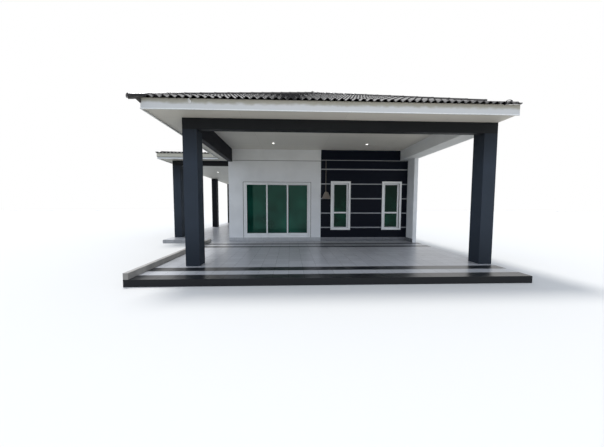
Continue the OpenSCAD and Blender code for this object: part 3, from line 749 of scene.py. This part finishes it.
def add_cap(roof):
    """One half-round cap that runs up +X from its collar, tapered so that the next laps it."""
    whole = roof.cap_spacing + roof.cap_lap
    bpy.ops.mesh.primitive_cylinder_add(vertices=28, radius=roof.cap_radius - roof.collar_height,
                                        depth=whole, end_fill_type="NOTHING",
                                        rotation=(0, math.pi / 2, 0), location=(whole / 2, 0, 0))
    cap = bpy.context.object
    place(cap, cap.location, cap.rotation_euler)
    edit(cap)
    bpy.ops.mesh.select_all(action="SELECT")
    bpy.ops.mesh.bisect(plane_co=(0, 0, 0), plane_no=(0, 0, 1), clear_inner=True)
    bpy.ops.mesh.select_all(action="SELECT")
    bpy.ops.mesh.bisect(plane_co=(roof.collar_width, 0, 0), plane_no=(1, 0, 0))
    pick(cap, "verts", lambda v: v.co.x > whole - LAP_GAP)
    bpy.ops.transform.resize(value=(1, roof.cap_taper, roof.cap_taper),
                             center_override=(whole, 0, 0))
    leave()
    modifier(cap, "SOLIDIFY", thickness=roof.cap_thickness, offset=-1)
    edit(cap)
    outer = roof.cap_radius - roof.collar_height - roof.cap_thickness / 2
    pick(cap, "faces", lambda f: middle(f).x < roof.collar_width
         and Vector(middle(f).yz).length > outer and abs(f.normal.x) < 0.5)
    bpy.ops.mesh.extrude_region_shrink_fatten(
        TRANSFORM_OT_shrink_fatten={"value": roof.collar_height})
    leave()
    return cap


def add_cap_end(roof):
    """The rounded stop that closes the lowest cap of a run."""
    bpy.ops.mesh.primitive_uv_sphere_add(segments=28, ring_count=14,
                                         radius=roof.cap_radius - roof.collar_height / 2)
    dome = bpy.context.object
    dome.scale.x = 0.6
    place(dome)
    cut_off(dome, (0, 0, -LAP_GAP), (0, 0, -1))
    cut_off(dome, (roof.collar_width / 2, 0, 0), (1, 0, 0))
    return dome


def add_bedding(roof, whole):
    """The mortar under a run of caps, whose sides wander a little as it was pressed out."""
    half, depth = roof.cap_radius * 0.80, roof.cap_radius * 0.62
    spacing, wander, quick, slow = 0.09, 0.05, 41, 23
    bed = bar((0, -half, -depth / 2), (whole, half, depth))
    edit(bed)
    pick(bed, "edges", lambda e: abs(e.verts[0].co.x - e.verts[1].co.x) > whole / 2)
    bpy.ops.mesh.subdivide(number_cuts=max(2, round(whole / spacing)))
    leave()
    for vertex in bed.data.vertices:
        x = vertex.co.x
        vertex.co.y *= 1 + wander * (math.sin(x * quick) + math.sin(x * slow + 1))
    return bed


def cap_run(start, end, caps, beds, cuts=(), domed=True):
    """Lays lapped caps and their mortar from a low start to a high end."""
    roof = bpy.context.scene.bungalow_roof
    way = end - start
    cap = add_cap(roof)
    repeat(cap, (roof.cap_spacing, 0, 0), math.ceil(way.length / roof.cap_spacing))
    cut_off(cap, (way.length, 0, 0), (1, 0, 0))
    run = join([cap, add_cap_end(roof)]) if domed else cap
    bed = add_bedding(roof, way.length)
    for piece in (run, bed):
        place(piece, start, way.to_track_quat("X", "Z").to_euler("XYZ"))
        for point, side in cuts:
            cut_off(piece, point, side)
    caps.append(run)
    beds.append(bed)


class BUNGALOW_OT_roof_caps(bpy.types.Operator):
    """Lays the hip and ridge caps on their mortar"""
    bl_idname = "bungalow.roof_caps"
    bl_label = "Hip and ridge caps"

    def execute(self, context):
        plan, roof = RoofPlan(), context.scene.bungalow_roof
        hips, ridge, terrace, beds = [], [], [], []
        self.lay_hips(plan, roof, hips, beds)
        ends = [Vector((plan.ridge_x, plan.ridge_y0 - roof.cap_radius / 2, plan.ridge)),
                Vector((plan.ridge_x, plan.ridge_y1 + roof.cap_radius / 2, plan.ridge))]
        over = Vector((0, 0, roof.ridge_lift))
        cap_run(ends[0] + over, ends[1] + over, ridge, beds)
        self.lay_terrace_hips(plan, roof, terrace, beds)
        # Painted shade: the dark wedge under the overhanging hip cap
        beds.append(self.corner_shade_wedge(plan))
        for run, name, node in ((hips, "hip_cap_tiles", "hip_caps"),
                                (ridge, "ridge_cap_tiles", "ridge_cap"),
                                (terrace, "terrace_cap_tiles", "terrace_hip_caps")):
            dress(join(run), name, "roof_tile", replaces=[node])
        dress(join(beds), "cap_mortar", "mortar")
        return {"FINISHED"}

    def lay_hips(self, plan, roof, hips, beds):
        """The caps on the left hips, which run out past the eave, and on those at the valley."""
        lift = Vector((0, 0, roof.cap_lift))
        out, strip, past_valley = roof.cap_run_out, plan.party_x - plan.x1, 0.40
        for y, ridge_y, away in ((plan.y0, plan.ridge_y0, -1), (plan.y1, plan.ridge_y1, 1)):
            top = Vector((plan.ridge_x, ridge_y, plan.ridge))
            left = plan.corner(plan.x0 - out, y + away * out) - Vector((0, 0, out * plan.slope))
            right = plan.corner(plan.x1, y)
            party = right + Vector((strip, -away * strip, strip * plan.slope))
            cap_run(left + lift, top + lift, hips, beds)
            for end in (top, party):
                start = right + (end - right).normalized() * past_valley
                cuts = [(party, (1, 0, 0))] if end is party else []
                cap_run(start + lift, end + lift, hips, beds, cuts, domed=False)

    def lay_terrace_hips(self, plan, roof, hips, beds):
        """The caps on the terrace's two hips, up to the main roof."""
        lift = Vector((0, 0, roof.cap_lift))
        reach, inset = plan.terrace_reach + roof.cap_spacing, 0.25
        for y, inward in ((plan.terrace_y0, 1), (plan.terrace_y1, -1)):
            corner = Vector((plan.terrace_x, y, plan.terrace_eave)) + lift
            way = Vector((reach, inward * reach, reach * plan.terrace_slope))
            cap_run(corner + way.normalized() * inset, corner + way, hips, beds,
                    [plan.left_plane()])

    def corner_shade_wedge(self, plan):
        """A dark mortar wedge on the fascia's corner, under the overhanging hip cap: painted shade of
        the hollow beneath the cap.
        """
        reach, drop, half, inside = 0.115, 0.085, 0.022, 0.010
        board_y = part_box("eave_fascia")[0].y
        wedge = bar((-reach, -half, -drop), (inside, half, 0))
        cut_off(wedge, (0, 0, -drop), (-drop, 0, -reach))
        place(wedge, plan.corner(plan.x0 + board_y - plan.y0, board_y), (0, 0, math.pi / 4))
        return wedge


class BUNGALOW_OT_eave_trim(bpy.types.Operator):
    """Adds the fascia's bead, the terrace's cover board, the hook and the valley's sheet"""
    bl_idname = "bungalow.eave_trim"
    bl_label = "Eave trim"

    def execute(self, context):
        sizes = context.scene.bungalow_fittings
        plan = RoofPlan()
        low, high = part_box("eave_fascia")
        eave_out = low.y - plan.y0
        main_x, front_y = plan.x0 + eave_out, plan.terrace_y0 + eave_out
        depth = sizes.bead_depth
        cover_z, cover_depth, shadow_line_height, shadow_line_depth = low.z + 0.082, 0.014, 0.020, 0.004

        def terrace_lines(out):
            """Plan corners of a strip on the terrace's fascia, at its front and its left."""
            return [((low.x - out, front_y - out), (main_x - depth, front_y)),
                    ((low.x - out, front_y), (low.x, high.y))]

        def strip(lines, bottom, top):
            """Bars between two heights over plan corners, in one piece."""
            return join([bar((*a, bottom), (*b, top)) for a, b in lines])

        bead = strip([((main_x - depth, low.y - depth), (high.x, low.y)),
                      ((main_x - depth, low.y), (main_x, front_y)),
                      *terrace_lines(depth),
                      ((low.x - depth, high.y), (high.x, high.y + depth))],
                     low.z, low.z + sizes.bead_height)
        modifier(bead, "BEVEL", width=0.004, segments=2)
        dress(bead, "fascia_bead", "bead")
        cover = strip(terrace_lines(cover_depth), cover_z, high.z)
        dress(cover, "terrace_cover_board", "grey_beige_board")
        # Painted shadow: a dark strip under the cover board, where the board would shade the fascia
        joint = strip(terrace_lines(shadow_line_depth), cover_z - shadow_line_height, cover_z)
        dress(joint, "terrace_board_joint", "sealant")
        self.add_hook(low)
        self.add_valley(plan, context.scene.bungalow_roof)
        return {"FINISHED"}

    def add_hook(self, board_low):
        """An open ring on a small plate, screwed to the fascia near its left end."""
        hook_x, hook_z = -3.385, board_low.z + 0.165
        ring, wire = 0.045, 0.006
        half_width, half_height, thickness = 0.02, 0.03, 0.004
        bpy.ops.mesh.primitive_torus_add(major_radius=ring, minor_radius=wire,
                                         major_segments=28, minor_segments=10,
                                         rotation=(math.pi / 2, 0, math.pi / 2))
        hook = bpy.context.object
        place(hook, (0, 0, 0), hook.rotation_euler)
        edit(hook)
        pick(hook, "faces", lambda f: middle(f).y < 0 and middle(f).z > ring / 2)
        bpy.ops.mesh.delete(type="FACE")
        pick(hook, "edges", lambda e: len(e.link_faces) == 1)
        bpy.ops.mesh.edge_face_add()
        leave()
        place(hook, (hook_x, board_low.y - ring, hook_z))
        plate = bar((hook_x - half_width, board_low.y - thickness, hook_z - half_height),
                    (hook_x + half_width, board_low.y, hook_z + half_height))
        modifier(plate, "BEVEL", width=0.002, segments=2)
        dress(join([plate, hook]), "fascia_hook", "lamp_white")

    def add_valley(self, plan, roof):
        """The folded sheet that carries the water down between the two roofs."""
        half, inset, thickness = roof.valley_half * 2.2, 0.15, 0.002
        run = plan.y1 - plan.y0 - 2 * inset
        bpy.ops.mesh.primitive_grid_add(x_subdivisions=4, y_subdivisions=1, size=1)
        sheet = bpy.context.object
        for vertex in sheet.data.vertices:
            side = vertex.co.x * 2 * half
            back = plan.y0 + inset + (vertex.co.y + 0.5) * run
            vertex.co = (plan.x1 + side, back, plan.eave + abs(side) * plan.slope + thickness)
        modifier(sheet, "SOLIDIFY", thickness=thickness, offset=1)
        dress(sheet, "valley_sheet", "valley_steel")


# Porch and openings

def front_face():
    """Y of the front wall's face under its band. It is as thick as the party wall."""
    party_low, party_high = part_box("party_wall")
    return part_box("front_wall_left")[1].y - (party_high.x - party_low.x)


def skirting_run(start, run, turn):
    """A row of bevelled tiles against a wall: along +X from the start, before its turn."""
    sizes = bpy.context.scene.bungalow_fittings
    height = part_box("house_floor")[1].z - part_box("porch_floor")[1].z
    piece = bar((0, -sizes.skirting_thickness, 0),
                (sizes.skirting_length - sizes.skirting_joint, 0, height))
    modifier(piece, "BEVEL", width=0.002, segments=2)
    repeat(piece, (sizes.skirting_length, 0, 0), math.ceil(run / sizes.skirting_length))
    cut_off(piece, (run, 0, 0), (1, 0, 0))
    place(piece, start, (0, 0, turn))
    return piece


class BUNGALOW_OT_skirting(bpy.types.Operator):
    """Sets the row of tiles at the foot of the porch and terrace walls"""
    bl_idname = "bungalow.skirting"
    bl_label = "Skirting tiles"

    def execute(self, context):
        floor_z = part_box("porch_floor")[1].z
        wall_x, wall_y, wall_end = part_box("left_wall")[0].x, front_face(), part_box("rear_wall")[1].y
        dark_x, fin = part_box("feature_wall")[0].x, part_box("party_wall")[0]
        clear_y = wall_y - context.scene.bungalow_fittings.skirting_thickness
        rows = {
            "skirting_tiles": ("skirting_tile", [
                ((wall_x, wall_y, floor_z), dark_x - wall_x, 0),
                ((wall_x, wall_end, floor_z), wall_end - wall_y, -math.pi / 2)]),
            "skirting_tiles_dark": ("dark_skirting", [
                ((dark_x, wall_y, floor_z), fin.x - dark_x, 0),
                ((fin.x, clear_y, floor_z), clear_y - fin.y, -math.pi / 2)]),
        }
        for name, (finish, runs) in rows.items():
            dress(join([skirting_run(*run) for run in runs]), name, finish, smooth=40)
        return {"FINISHED"}


class BUNGALOW_OT_wall_lines(bpy.types.Operator):
    """Lays thin dark strips under the band of the front wall and round the door frame as painted
    shadow, and the white line at the head of the feature wall
    """
    bl_idname = "bungalow.wall_joints"
    bl_label = "Wall lines"

    def execute(self, context):
        sizes = context.scene.bungalow_fittings
        wall_y, dark_x, fin_x = front_face(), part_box("feature_wall")[0].x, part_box("party_wall")[0].x
        beam_low, beam_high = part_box("porch_side_beam")
        band_z = beam_low.z + sizes.band_rise
        # Painted shadow: a dark strip under the band, where its edge would shade the wall
        under_depth, overlap = 0.012, 0.001
        under = bar((beam_high.x, wall_y - under_depth, band_z - sizes.band_joint),
                    (dark_x, wall_y, band_z + overlap))
        dress(under, "band_joint", "sealant", smooth=None)
        head_depth, head_low, head_high = 0.020, band_z + 0.016, band_z + 0.040
        head = bar((dark_x, wall_y - head_depth, head_low), (fin_x, wall_y, head_high))
        modifier(head, "BEVEL", width=0.003, segments=2)
        dress(head, "feature_head_line", "line_paint")
        low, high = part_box("door_frame")
        # Painted shadow: dark strips in the gap round the door frame
        door_shadow_depth = 0.009
        wide, y0 = sizes.door_shadow_width, low.y - door_shadow_depth
        seal = join([bar((low.x, y0, low.z), (low.x + wide, low.y, high.z)),
                     bar((high.x - wide, y0, low.z), (high.x, low.y, high.z)),
                     bar((low.x + wide, y0, high.z - wide), (high.x - wide, low.y, high.z))])
        dress(seal, "door_sealant", "sealant", smooth=None)
        return {"FINISHED"}


def gasket(low, high, thin):
    """The seals on both faces of a pane; thin is the axis along which the pane is thin."""
    sizes = bpy.context.scene.bungalow_fittings
    rings = []
    for face, out in ((low, -1), (high, 1)):
        near, far = Vector(low), Vector(high)
        near[thin] = min(face[thin], face[thin] + out * sizes.gasket_depth)
        far[thin] = max(face[thin], face[thin] + out * sizes.gasket_depth)
        ring = bar(near, far)
        edit(ring)
        pick(ring, "faces", lambda f: abs(f.normal[thin]) > 0.9)
        bpy.ops.mesh.inset(thickness=sizes.gasket_width, use_individual=True)
        bpy.ops.mesh.bridge_edge_loops()
        leave()
        rings.append(ring)
    return rings


class BUNGALOW_OT_gaskets(bpy.types.Operator):
    """Seals every pane in its frame with rubber"""
    bl_idname = "bungalow.gaskets"
    bl_label = "Glazing gaskets"

    def execute(self, context):
        panes = {"door_left_glass": "left_panel", "door_middle_glass": "middle_panel",
                 "door_right_glass": "house", "window_glass": "house"}
        for node, body in panes.items():
            rings = []
            for low, high in solids(node):
                thin = min(range(3), key=lambda axis: high[axis] - low[axis])
                rings += gasket(low, high, thin)
            dress(join(rings), node.replace("glass", "gasket"), "rubber",
                  body=body, smooth=None)
        return {"FINISHED"}


# Lights

def tube(start, end, radius, bevel):
    """A round bar between two points with eased ends."""
    start, end = Vector(start), Vector(end)
    way = end - start
    bpy.ops.mesh.primitive_cylinder_add(vertices=24, radius=radius, depth=way.length)
    piece = bpy.context.object
    modifier(piece, "BEVEL", width=bevel, segments=2, limit_method="ANGLE")
    place(piece, (start + end) / 2, way.to_track_quat("Z", "Y").to_euler())
    return piece


class BUNGALOW_OT_lights(bpy.types.Operator):
    """Adds the wall lamp with its conduit, and the downlights"""
    bl_idname = "bungalow.lights"
    bl_label = "Lights"

    def execute(self, context):
        sizes = context.scene.bungalow_fittings
        low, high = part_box("wall_lamp")
        centre = Vector(((low.x + high.x) / 2, low.y + (high.x - low.x) / 2, low.z))
        neck = centre + Vector((0, 0, sizes.shade_height))
        self.add_shade(sizes, centre, neck, (high.x - low.x) / 2 + sizes.shade_flare, high.y)
        self.add_bulb(neck)
        self.add_conduit(sizes, neck, high)
        self.add_downlights()
        return {"FINISHED"}

    def add_shade(self, sizes, centre, neck, radius, wall_y):
        """The conical shade with its rolled rim and its neck, on an arm from a round rose."""
        x, y, z = centre
        wall, bead = sizes.shade_wall, sizes.shade_wall * 1.3
        neck_length, rose_radius, rose_depth = 0.055, 0.045, 0.016
        bpy.ops.mesh.primitive_cone_add(vertices=48, radius1=radius - wall,
                                        radius2=sizes.shade_neck, depth=sizes.shade_height,
                                        end_fill_type="NOTHING", location=(centre + neck) / 2)
        shade = bpy.context.object
        place(shade, shade.location)
        modifier(shade, "SOLIDIFY", thickness=wall, offset=-1)
        bpy.ops.mesh.primitive_torus_add(major_radius=radius - wall * 1.4, minor_radius=bead,
                                         major_segments=48, minor_segments=8,
                                         location=(x, y, z + bead))
        rim = bpy.context.object
        place(rim, rim.location)
        cuff = tube((x, y, neck.z - neck_length), neck, sizes.shade_neck, 0.006)
        arm_z = neck.z - sizes.conduit_radius
        arm = tube((x, y, arm_z), (x, wall_y, arm_z), sizes.conduit_radius, 0.002)
        rose = tube((x, wall_y - rose_depth, arm_z), (x, wall_y, arm_z), rose_radius, 0.005)
        dress(join([shade, rim, cuff, arm, rose]), "lamp_shade", "lamp_metal",
              replaces=["wall_lamp"], smooth=40)

    def add_bulb(self, neck):
        """A bulb that hangs in the shade and narrows towards the neck."""
        radius, drop, narrow, stretch = 0.03, 0.118, 0.55, 2.1
        bpy.ops.mesh.primitive_uv_sphere_add(segments=28, ring_count=18, radius=radius)
        bulb = bpy.context.object
        edit(bulb)
        pick(bulb, "verts", lambda v: v.co.z > 0)
        bpy.ops.transform.resize(value=(narrow, narrow, stretch), center_override=(0, 0, 0))
        leave()
        place(bulb, neck - Vector((0, 0, drop)))
        dress(bulb, "lamp_bulb", "lamp_white", smooth=40)

    def add_conduit(self, sizes, neck, high):
        """The conduit up the wall to the band, held by two saddles, clear of the white lines."""
        line_clear, saddle_half, saddle_share = 0.0063, 0.012, 1.25
        thick = sizes.conduit_radius
        x, y, arm_z = neck.x, high.y - line_clear - thick, neck.z - thick
        pieces = [tube((x, y, arm_z), (x, y, high.z), thick, 0.001)]
        for share in (0.25, 0.75):
            z = arm_z + (high.z - arm_z) * share
            pieces.append(tube((x, y, z - saddle_half), (x, y, z + saddle_half),
                               thick * saddle_share, 0.002))
        dress(join(pieces), "lamp_conduit", "conduit", smooth=40)

    def add_downlights(self):
        """Shallow rims round a lit lens that bulges down a little."""
        rim, well, fall, bevel = 0.18, 0.25, 0.2, 0.15
        lens_share, lens_bulge, lens_lift = 0.62, 0.45, 0.002
        lamps, lenses = [], []
        for low, high in solids("downlights"):
            radius, depth = (high.x - low.x) / 2, high.z - low.z
            centre = (low + high) / 2
            bpy.ops.mesh.primitive_cylinder_add(vertices=48, radius=radius, depth=depth)
            lamp = bpy.context.object
            edit(lamp)
            pick(lamp, "faces", lambda f: f.normal.z < -0.9)
            bpy.ops.mesh.inset(thickness=radius * rim)
            bpy.ops.mesh.extrude_region_move(TRANSFORM_OT_translate={"value": (0, 0, depth / 2)})
            bpy.ops.mesh.inset(thickness=radius * well)
            bpy.ops.transform.translate(value=(0, 0, -depth * fall))
            leave()
            modifier(lamp, "BEVEL", width=depth * bevel, segments=2, limit_method="ANGLE")
            place(lamp, centre)
            lamps.append(lamp)
            bpy.ops.mesh.primitive_uv_sphere_add(segments=32, ring_count=16,
                                                 radius=radius * lens_share)
            lens = bpy.context.object
            lens.scale.z = lens_bulge
            place(lens, (centre.x, centre.y, low.z + lens_lift))
            lenses.append(lens)
        dress(join(lamps), "downlight_fittings", "lamp_white",
              replaces=["downlights"], smooth=40)
        dress(join(lenses), "downlight_lenses", "opal")


# Studio

def seen_directly(owner):
    """1 for rays from the camera, a mirror or a pane, and 0 for diffuse light."""
    path = add(owner, "ShaderNodeLightPath").outputs
    seen = add(owner, "ShaderNodeMath", {0: path["Is Camera Ray"], 1: path["Is Glossy Ray"]},
               operation="MAXIMUM").outputs[0]
    return add(owner, "ShaderNodeMath", {0: seen, 1: path["Is Transmission Ray"]},
               operation="MAXIMUM").outputs[0]


class BUNGALOW_OT_studio(bpy.types.Operator):
    """Sets up the floor, the soft light and the camera"""
    bl_idname = "bungalow.studio"
    bl_label = "Studio"

    def execute(self, context):
        studio = context.scene.bungalow_studio
        context.scene.view_settings.view_transform = "Standard"
        self.add_floor(studio)
        self.add_light(studio)
        self.add_camera(studio)
        return {"FINISHED"}

    def add_floor(self, studio):
        """A pale floor that sends less light up at the sides of the house than before it."""
        porch_x, lit, dim = 0.9, 3.0, 5.4
        bpy.ops.mesh.primitive_grid_add(x_subdivisions=8, y_subdivisions=8,
                                        size=2 * studio.floor_half)
        floor = bpy.context.object
        floor.name = "studio_floor"
        made, coords = new_finish("pale studio floor")
        x = add(made, "ShaderNodeSeparateXYZ", {"Vector": coords}).outputs["X"]
        aside = add(made, "ShaderNodeMath", {0: x, 1: porch_x}, operation="SUBTRACT").outputs[0]
        aside = add(made, "ShaderNodeMath", {0: aside}, operation="ABSOLUTE").outputs[0]
        tint = layered(made, colour("#f1e7d9"), ((aside, lit, dim), "#8b8b82"),
                       (seen_directly(made), "#dddbd7"))
        pale = add(made, "ShaderNodeBsdfDiffuse", {"Color": tint})
        add(made, "ShaderNodeOutputMaterial", {"Surface": pale.outputs[0]})
        floor.data.materials.append(made)

    def add_light(self, studio):
        """A sky that is white where it is seen and leans to the left in what it lights."""
        world = emptied(bpy.data.worlds.new("studio sky"))
        way = add(world, "ShaderNodeTexCoord").outputs["Generated"]
        to_right = add(world, "ShaderNodeSeparateXYZ", {"Vector": way}).outputs["X"]
        level = (to_right, -1, 1, studio.sky_strength * (1 + studio.sky_lean),
                 studio.sky_strength * (1 - studio.sky_lean))
        soft = add(world, "ShaderNodeBackground", {"Color": colour("#dfe8f6"), "Strength": level})
        white = add(world, "ShaderNodeBackground", {"Color": colour("#ffffff"), "Strength": 1.0})
        mixed = add(world, "ShaderNodeMixShader", {0: seen_directly(world), 1: soft.outputs[0],
                                                   2: white.outputs[0]})
        add(world, "ShaderNodeOutputWorld", {"Surface": mixed.outputs[0]})
        bpy.context.scene.world = world
        behind = (0, 30, 30)
        bpy.ops.object.light_add(type="SUN", location=behind,
                                 rotation=(studio.sun_tilt, 0, studio.sun_turn))
        sun = bpy.context.object
        sun.name = "soft_sun"
        sun.data.energy = studio.sun_strength
        sun.data.angle = studio.sun_angle

    def add_camera(self, studio):
        """A camera that stands and looks as the photograph's did."""
        bpy.ops.object.camera_add(location=studio.eye)
        camera = bpy.context.object
        camera.name = "porch_camera"
        camera.data.sensor_width = 36
        camera.data.lens = studio.lens
        turn = Matrix.Rotation(studio.heading, 4, "Z")
        turn @= Matrix.Rotation(math.pi / 2 + studio.tilt, 4, "X")
        turn @= Matrix.Rotation(studio.roll, 4, "Z")
        camera.rotation_euler = turn.to_euler()
        bpy.context.scene.camera = camera


class BUNGALOW_PT_panel(bpy.types.Panel):
    """Lists the steps that finish the bungalow"""
    bl_idname = "BUNGALOW_PT_panel"
    bl_label = "Bungalow"
    bl_space_type = "VIEW_3D"
    bl_region_type = "UI"
    bl_category = "Bungalow"

    def draw(self, context):
        """Shows the settings of each group and a button for each step."""
        for group in GROUPS:
            settings = getattr(context.scene, group)
            box = self.layout.box()
            for name in settings.bl_rna.properties.keys():
                if name not in ("rna_type", "name"):
                    box.prop(settings, name)
        for step in STEPS:
            self.layout.operator(step.bl_idname)


GROUPS = {
    "bungalow_roof": RoofSettings,
    "bungalow_fittings": FittingSettings,
    "bungalow_paint": PaintSettings,
    "bungalow_studio": StudioSettings,
}
STEPS = (
    BUNGALOW_OT_studio,
    BUNGALOW_OT_finishes,
    BUNGALOW_OT_roof_tiles,
    BUNGALOW_OT_roof_caps,
    BUNGALOW_OT_eave_trim,
    BUNGALOW_OT_skirting,
    BUNGALOW_OT_wall_lines,
    BUNGALOW_OT_gaskets,
    BUNGALOW_OT_lights,
)


def register():
    """Registers the classes and gives the scene its settings."""
    for made in (*GROUPS.values(), *STEPS, BUNGALOW_PT_panel):
        bpy.utils.register_class(made)
    for name, group in GROUPS.items():
        setattr(bpy.types.Scene, name, bpy.props.PointerProperty(type=group))


def unregister():
    """Takes away what register() added."""
    for name in GROUPS:
        delattr(bpy.types.Scene, name)
    for made in reversed((*GROUPS.values(), *STEPS, BUNGALOW_PT_panel)):
        bpy.utils.unregister_class(made)


def main():
    """Finishes the bungalow step by step."""
    register()
    bpy.ops.bungalow.studio()
    bpy.ops.bungalow.finishes()
    bpy.ops.bungalow.roof_tiles()
    bpy.ops.bungalow.roof_caps()
    bpy.ops.bungalow.eave_trim()
    bpy.ops.bungalow.skirting()
    bpy.ops.bungalow.wall_joints()
    bpy.ops.bungalow.gaskets()
    bpy.ops.bungalow.lights()


if __name__ == "__main__":
    main()
